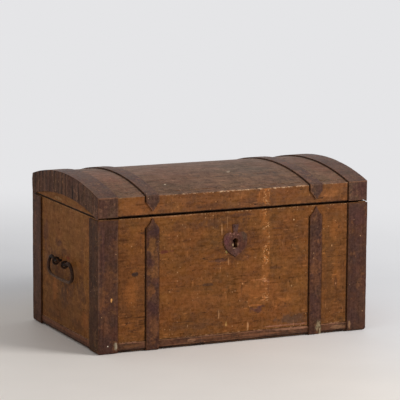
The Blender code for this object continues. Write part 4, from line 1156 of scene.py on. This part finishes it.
# The dome's five boards run the length of the lid and are planed to its curve. They are nailed
# down edge to edge, so close that no light shows between them.
STAVE_WIDENS = 0.0011
for number in range(1, 6):
    node = f"lid_stave_{number}"
    low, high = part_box(node)
    middle = (low.y + high.y) / 2
    widened = Matrix.Scale(1 + STAVE_WIDENS / (high.y - low.y), 4, Vector((0, 1, 0)))
    to_middle = Matrix.Translation((0, -middle, 0))
    widened = to_middle.inverted() @ widened @ to_middle
    shape, steps = copy_of(node), (0.009, 0.008, 0)
    bmesh.ops.transform(shape, matrix=widened, verts=shape.verts)
    wear_down(shape, 0.0003, steps, dent=0.0002, chip=0.0004, seed=51.0, angle=50)
    sort_faces(shape, lambda face: int(face.normal.z < 0.5))
    finishes = (dome_paint, bare_along_x)
    add_piece(f"dome_board_{number}", shape, finishes, "lid", "grained_wood", node)

# The lid's edge irons wrap the dome at each end. Their outer edge is hammered down over the lid's
# end in lapped tabs, whose pleats are darkened by painted shade and dirt.
EDGE_BROWNS = ((66, 42, 32), (80, 53, 39), (114, 76, 52), (186, 146, 110))
FLANGE_BROWNS = ((75, 51, 39), (91, 62, 48), (124, 86, 64), (170, 130, 96))
# Paler, greyer browns for the lid irons' upward faces: a painted sheen from the sky they face.
TOP_BROWNS_PAINTED_SHEEN = ((76, 51, 41), (91, 63, 49), (118, 82, 61), (186, 146, 110))
EDGE_MARKS = [(284, 292, 17, 24, (74, 45, 38), 0.7), (-284, 300, 17, 18, (74, 47, 38), 0.5)]
LID_RADIUS = 0.67357
LID_CENTRE = -0.33677
IRON_OUT = 0.0028
FLANGE_PLATE_X = 0.2988
FLANGE_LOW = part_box("lid_edge_iron_left")[0].z
CLEAR_OF_CORNER = 0.0004
FLANGE_TO_CORNER = FLANGE_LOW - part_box("corner_iron_back_left")[1].z - CLEAR_OF_CORNER
FLANGE_BULGE = 0.0205
FLANGE_HALF = 0.170
FLANGE_REACH = 0.1792
FLANGE_ENDS = 0.1
TAB_WIDTH = 0.0205
TAB_UNEVEN = 1.1
TAB_LEAN = 0.010
TAB_OVERLAP = 0.0008
TAB_LEAST = 0.008
TAB_COLUMNS = 6
TAB_ROWS = 7
TAB_X = 0.3000
TAB_START_IN = 0.0006
TAB_BELOW_TOP = 0.0010
TAB_BEND = 0.010
TAB_LAP = 0.0016
TAB_TUCK = 0.0012
TAB_HOLLOW = 0.0004
TAB_DENT = 0.0005
TAB_RAGGED = 0.0022
edge_iron = iron_finish("lid_edge_iron", EDGE_BROWNS, 0.3, EDGE_MARKS, edge=0.8, contrast=1.4)
top_iron_painted_sheen = iron_finish("lid_top_iron", TOP_BROWNS_PAINTED_SHEEN, 0.4, edge=0.6, contrast=1.5)
flange_iron = iron_finish("lid_flange_iron", FLANGE_BROWNS, 0.3, edge=0.8, contrast=1.5, **dull)


def add_tab(shape, side, start, end, lean, seed):
    """One hammered tab from y start to y end, its far edge lifted over the next one."""
    made = bmesh.ops.create_grid(shape, x_segments=TAB_COLUMNS, y_segments=TAB_ROWS, size=0.5)
    verts = made["verts"]
    shade_and_dirt = shape.verts.layers.float["shade_and_dirt"]
    edge = shape.verts.layers.float["edge"]
    back = (start + FLANGE_REACH) / (2 * FLANGE_REACH)
    dark = 0.6 + 0.9 * back + 0.8 * noise.noise(Vector((seed * 1.3, 2.0, 7.0)))
    if back == 0:
        dark = 0.2
    crease = 1.6 * noise.noise(Vector((seed * 1.9, 5.0, 3.0)))
    bright = 0.5 + 1.5 * noise.noise(Vector((seed * 2.7, 8.0, 1.0)))
    # Painted shade and dirt in the first columns, which lie under the lifted edge of the tab
    # before.
    folds = {0: 1.3 * dark, 1: dark, 2: 0.5 * back * dark, 4: crease * back}
    for vert in verts:
        along, down = vert.co.x + 0.5, 0.5 - vert.co.y
        column = round(along * TAB_COLUMNS)
        uneven = 0.95 + 0.5 * noise.noise(Vector((seed * 1.1, 6.0 + along, down * 3.5)))
        vert[shade_and_dirt] = max(0.0, folds.get(column, 0.0)) * uneven * (0.75 + 0.25 * down)
        # The middle columns are marked as edges: wear, and a painted highlight along the ridge.
        vert[edge] = bright if column in (3, 4) else 0.0
        y = MIDDLE_Y + start + (end - start) * along + lean * (down - 0.3)
        aside = y - MIDDLE_Y
        top = LID_CENTRE + math.sqrt((LID_RADIUS + IRON_OUT) ** 2 - aside**2) - TAB_BELOW_TOP
        bulge = max(0.0, 1 - (aside / FLANGE_HALF) ** 2)
        low = FLANGE_LOW + FLANGE_BULGE * bulge
        if bulge > FLANGE_ENDS:
            low += abs(TAB_RAGGED * noise.noise(Vector((seed, along * 0.8, 0))))
        else:
            low -= FLANGE_TO_CORNER * (1 - bulge / FLANGE_ENDS)
        z = top + (low - top) * down
        grown = min(1.0, (top - z) / TAB_BEND)
        lap = TAB_LAP * (along - 0.45) * grown
        hollow = TAB_HOLLOW * math.sin(math.pi * along) * grown
        dent = TAB_DENT * noise.noise(Vector((seed, along * 2, down * 4)))
        x = TAB_X - TAB_START_IN * (1 - grown) + lap - hollow + dent
        vert.co = Vector((side * x, y, z))
    faces = list({face for vert in verts for face in vert.link_faces})
    pushed = bmesh.ops.extrude_face_region(shape, geom=faces)
    moved = [item for item in pushed["geom"] if isinstance(item, bmesh.types.BMVert)]
    bmesh.ops.translate(shape, verts=moved, vec=Vector((-side * TAB_TUCK, 0, 0)))
    whole = list({face for vert in verts + moved for face in vert.link_faces})
    bmesh.ops.recalc_face_normals(shape, faces=whole)
    for face in whole:
        face.material_index = 1


for end, side in ENDS:
    node = f"lid_edge_iron_{end}"
    shape, steps = copy_of(node), (0.008, 0.008, 0.009)
    bmesh.ops.bisect_plane(
        shape,
        geom=shape.verts[:] + shape.edges[:] + shape.faces[:],
        dist=MERGE,
        plane_co=Vector((side * FLANGE_PLATE_X, 0, 0)),
        plane_no=Vector((side, 0, 0)),
        clear_outer=True,
    )
    bmesh.ops.holes_fill(shape, edges=[e for e in shape.edges if e.is_boundary], sides=0)
    wear_down(shape, 0.0006, steps, dent=0.0003, chip=0.0010, seed=61.0 + side)
    # Upward faces take the painted sheen.
    sort_faces(shape, lambda face: 2 * int(face.normal.z > 0.6))
    start, number = -FLANGE_REACH, 0
    while start < FLANGE_REACH:
        chance = noise.noise(Vector((number * 1.7, side * 3.1, 0.5)))
        stop = start + TAB_WIDTH * (1 + TAB_UNEVEN * chance)
        if FLANGE_REACH - stop < TAB_LEAST:
            stop = FLANGE_REACH
        lean = TAB_LEAN * noise.noise(Vector((number * 2.3, side, 9.0)))
        add_tab(shape, side, start, stop + TAB_OVERLAP, lean, number + 20 * side)
        start = stop
        number += 1
    finishes = (edge_iron, flange_iron, top_iron_painted_sheen)
    add_piece(f"edge_iron_{end}", shape, finishes, "lid", "strap_iron", node)

# The strap hinges: a band over the lid, pointed on the front rail, a band down the back with a
# folded foot, and three knuckles rolled round a pin between them.
lid_strap_iron = iron_finish("lid_strap_iron", EDGE_BROWNS, 0.5, edge=0.8, contrast=1.4)
back_strap_iron = iron_finish("back_strap_iron", IRON_BROWNS, 0.35)
which = {"angle": 42, "shortest": 0.004}
for end, side in ENDS:
    for node, name, body, finishes in (
        (f"lid_strap_{end}", f"strap_lid_{end}", "lid", (lid_strap_iron, top_iron_painted_sheen)),
        (f"hinge_strap_{end}", f"strap_back_{end}", "case", (back_strap_iron,)),
    ):
        shape, steps = copy_of(node), (0.007, 0.008, 0.008)
        wear_down(shape, 0.0006, steps, dent=0.00025, chip=0.0010, seed=71.0 + side, **which)
        # The lid straps' upward faces take the painted sheen.
        sort_faces(shape, lambda face: int(body == "lid" and face.normal.z > 0.6))
        add_piece(name, shape, finishes, body, "strap_iron", node)
    node = f"hinge_pin_{end}"
    shape = copy_of(node)
    soften(shape, 0.0003, angle=42, shortest=0.0005)
    add_piece(f"pin_{end}", shape, (back_strap_iron,), "case", "strap_iron", node)

# The handles are forged bails. Each hangs in two wrought eyes, whose tails pass through the end
# board and are clenched over inside.
HANDLE_BROWNS = ((32, 22, 17), (52, 35, 26), (88, 57, 40), (120, 86, 62))
# The bottom bar of each bail is paler: wear from hands, and a painted highlight where it faces the
# light.
HANDLE_MARKS = [(-4, 120, 60, 13, (98, 72, 54), 0.8), (-56, 146, 8, 20, (70, 42, 30), 0.5)]
handle_iron = iron_finish(
    "forged_iron", HANDLE_BROWNS, 0.4, HANDLE_MARKS, 0, shine=0, sheen=0.05, contrast=1.5
)
for end, side in ENDS:
    node = f"{end}_handle"
    shape = copy_of(node)
    weather(shape, dent=0.0010, chip=0.0, seed=82.0 + side)
    add_piece(f"bail_{end}", shape, (handle_iron,), f"{end}_bail", "handle_iron", node)
    for face in ("front", "back"):
        node = f"{end}_handle_eye_{face}"
        add_piece(f"eye_{end}_{face}", copy_of(node), (handle_iron,), "case", "handle_iron", node)

# The key plate is a heart of thin iron with a flared stem, held by four nails. Keys have worn a
# bright rim round its keyhole, and painted shade darkens its lower left edges.
PLATE_BROWNS = ((70, 42, 33), (82, 48, 34), (98, 58, 38), (180, 130, 104))
PLATE_MARKS = [
    (-18, 212, 7, 13, (88, 48, 52), 0.6),
    (20, 221, 6, 11, (72, 56, 42), 0.6),
    (-5, 223, 13, 5, (116, 76, 62), 0.4),
    (1, 238, 4, 9, (74, 56, 52), 0.5),
    (0, 189, 8, 9, (92, 64, 58), 0.5),
    (14, 200, 8, 8, (90, 50, 34), 0.4),
    (-12, 226, 2.0, 1.6, (160, 112, 100), 0.7),
    (-4, 224, 1.6, 1.6, (166, 118, 104), 0.7),
    (5, 222, 1.8, 1.4, (156, 108, 92), 0.7),
    (-8, 219, 1.6, 1.6, (148, 100, 84), 0.6),
    (-5.8, 202, 1.0, 3.8, (208, 182, 134), 0.9),
    (5.4, 202, 0.8, 3.4, (180, 138, 96), 0.7),
    (-3, 194.8, 3.0, 0.8, (190, 156, 118), 0.5),
]
HEART_LEFT = -0.009
HEART_LOW = 0.206
STEM_RIGHT = 0.002
STEM_LOW = 0.187
plate_iron = iron_finish("key_plate_iron", PLATE_BROWNS, 0.25, PLATE_MARKS, contrast=1.4)
shape, steps = copy_of("key_plate"), (0.003, 0, 0.003)
wear_down(shape, 0.0004, steps, dent=0.0002, chip=0.0004, seed=91.0, shortest=0.001)
shade_and_dirt = shape.verts.layers.float["shade_and_dirt"]
edge = shape.verts.layers.float["edge"]
# Painted shade on the plate's lower left edges, the side turned away from the key light.
for vert in shape.verts:
    on_heart = vert.co.x < HEART_LEFT and vert.co.z < HEART_LOW
    on_stem = vert.co.x < STEM_RIGHT and vert.co.z < STEM_LOW
    if vert[edge] and (on_heart or on_stem):
        vert[shade_and_dirt] = 1.0
add_piece("heart_plate", shape, (plate_iron,), "case", "lock_iron", "key_plate")
for number in range(1, 5):
    node = f"key_plate_nail_{number}"
    add_piece(f"heart_nail_{number}", copy_of(node), (plate_iron,), "case", "lock_iron", node)

# The lock is nailed inside the front board: a back plate, a box over the works, the bolt that
# slides in it, and the leaf spring that rests on the bolt.
LOCK_BROWNS = ((56, 44, 40), (80, 64, 57), (98, 78, 68), (150, 120, 96))
lock_iron = iron_finish("lock_works_iron", LOCK_BROWNS, 0.2, shine=0.5)
lock_pieces = {
    "lock_plate": ("back_plate", "case"),
    "lock_cover": ("works_box", "case"),
    "lock_bolt": ("sliding_bolt", "bolt"),
    "lock_spring": ("leaf_spring", "case"),
}
lock_pieces |= {f"lock_nail_{i}": (f"plate_nail_{i}", "case") for i in range(1, 5)}
for node, (name, body) in lock_pieces.items():
    shape = copy_of(node)
    soften(shape, 0.0003, shortest=0.0015)
    add_piece(name, shape, (lock_iron,), body, "lock_iron", node)

# The hasp plate is nailed inside the lid's front rail, behind the key plate. Its staple drops
# into the lock when the lid is shut, and the bolt slides through it.
hasp_pieces = {
    "lid_hasp": "staple_plate",
    "hasp_nail_1": "staple_nail_1",
    "hasp_nail_2": "staple_nail_2",
}
for node, name in hasp_pieces.items():
    shape = copy_of(node)
    soften(shape, 0.0003, shortest=0.0015)
    add_piece(name, shape, (lock_iron,), "lid", "lock_iron", node)
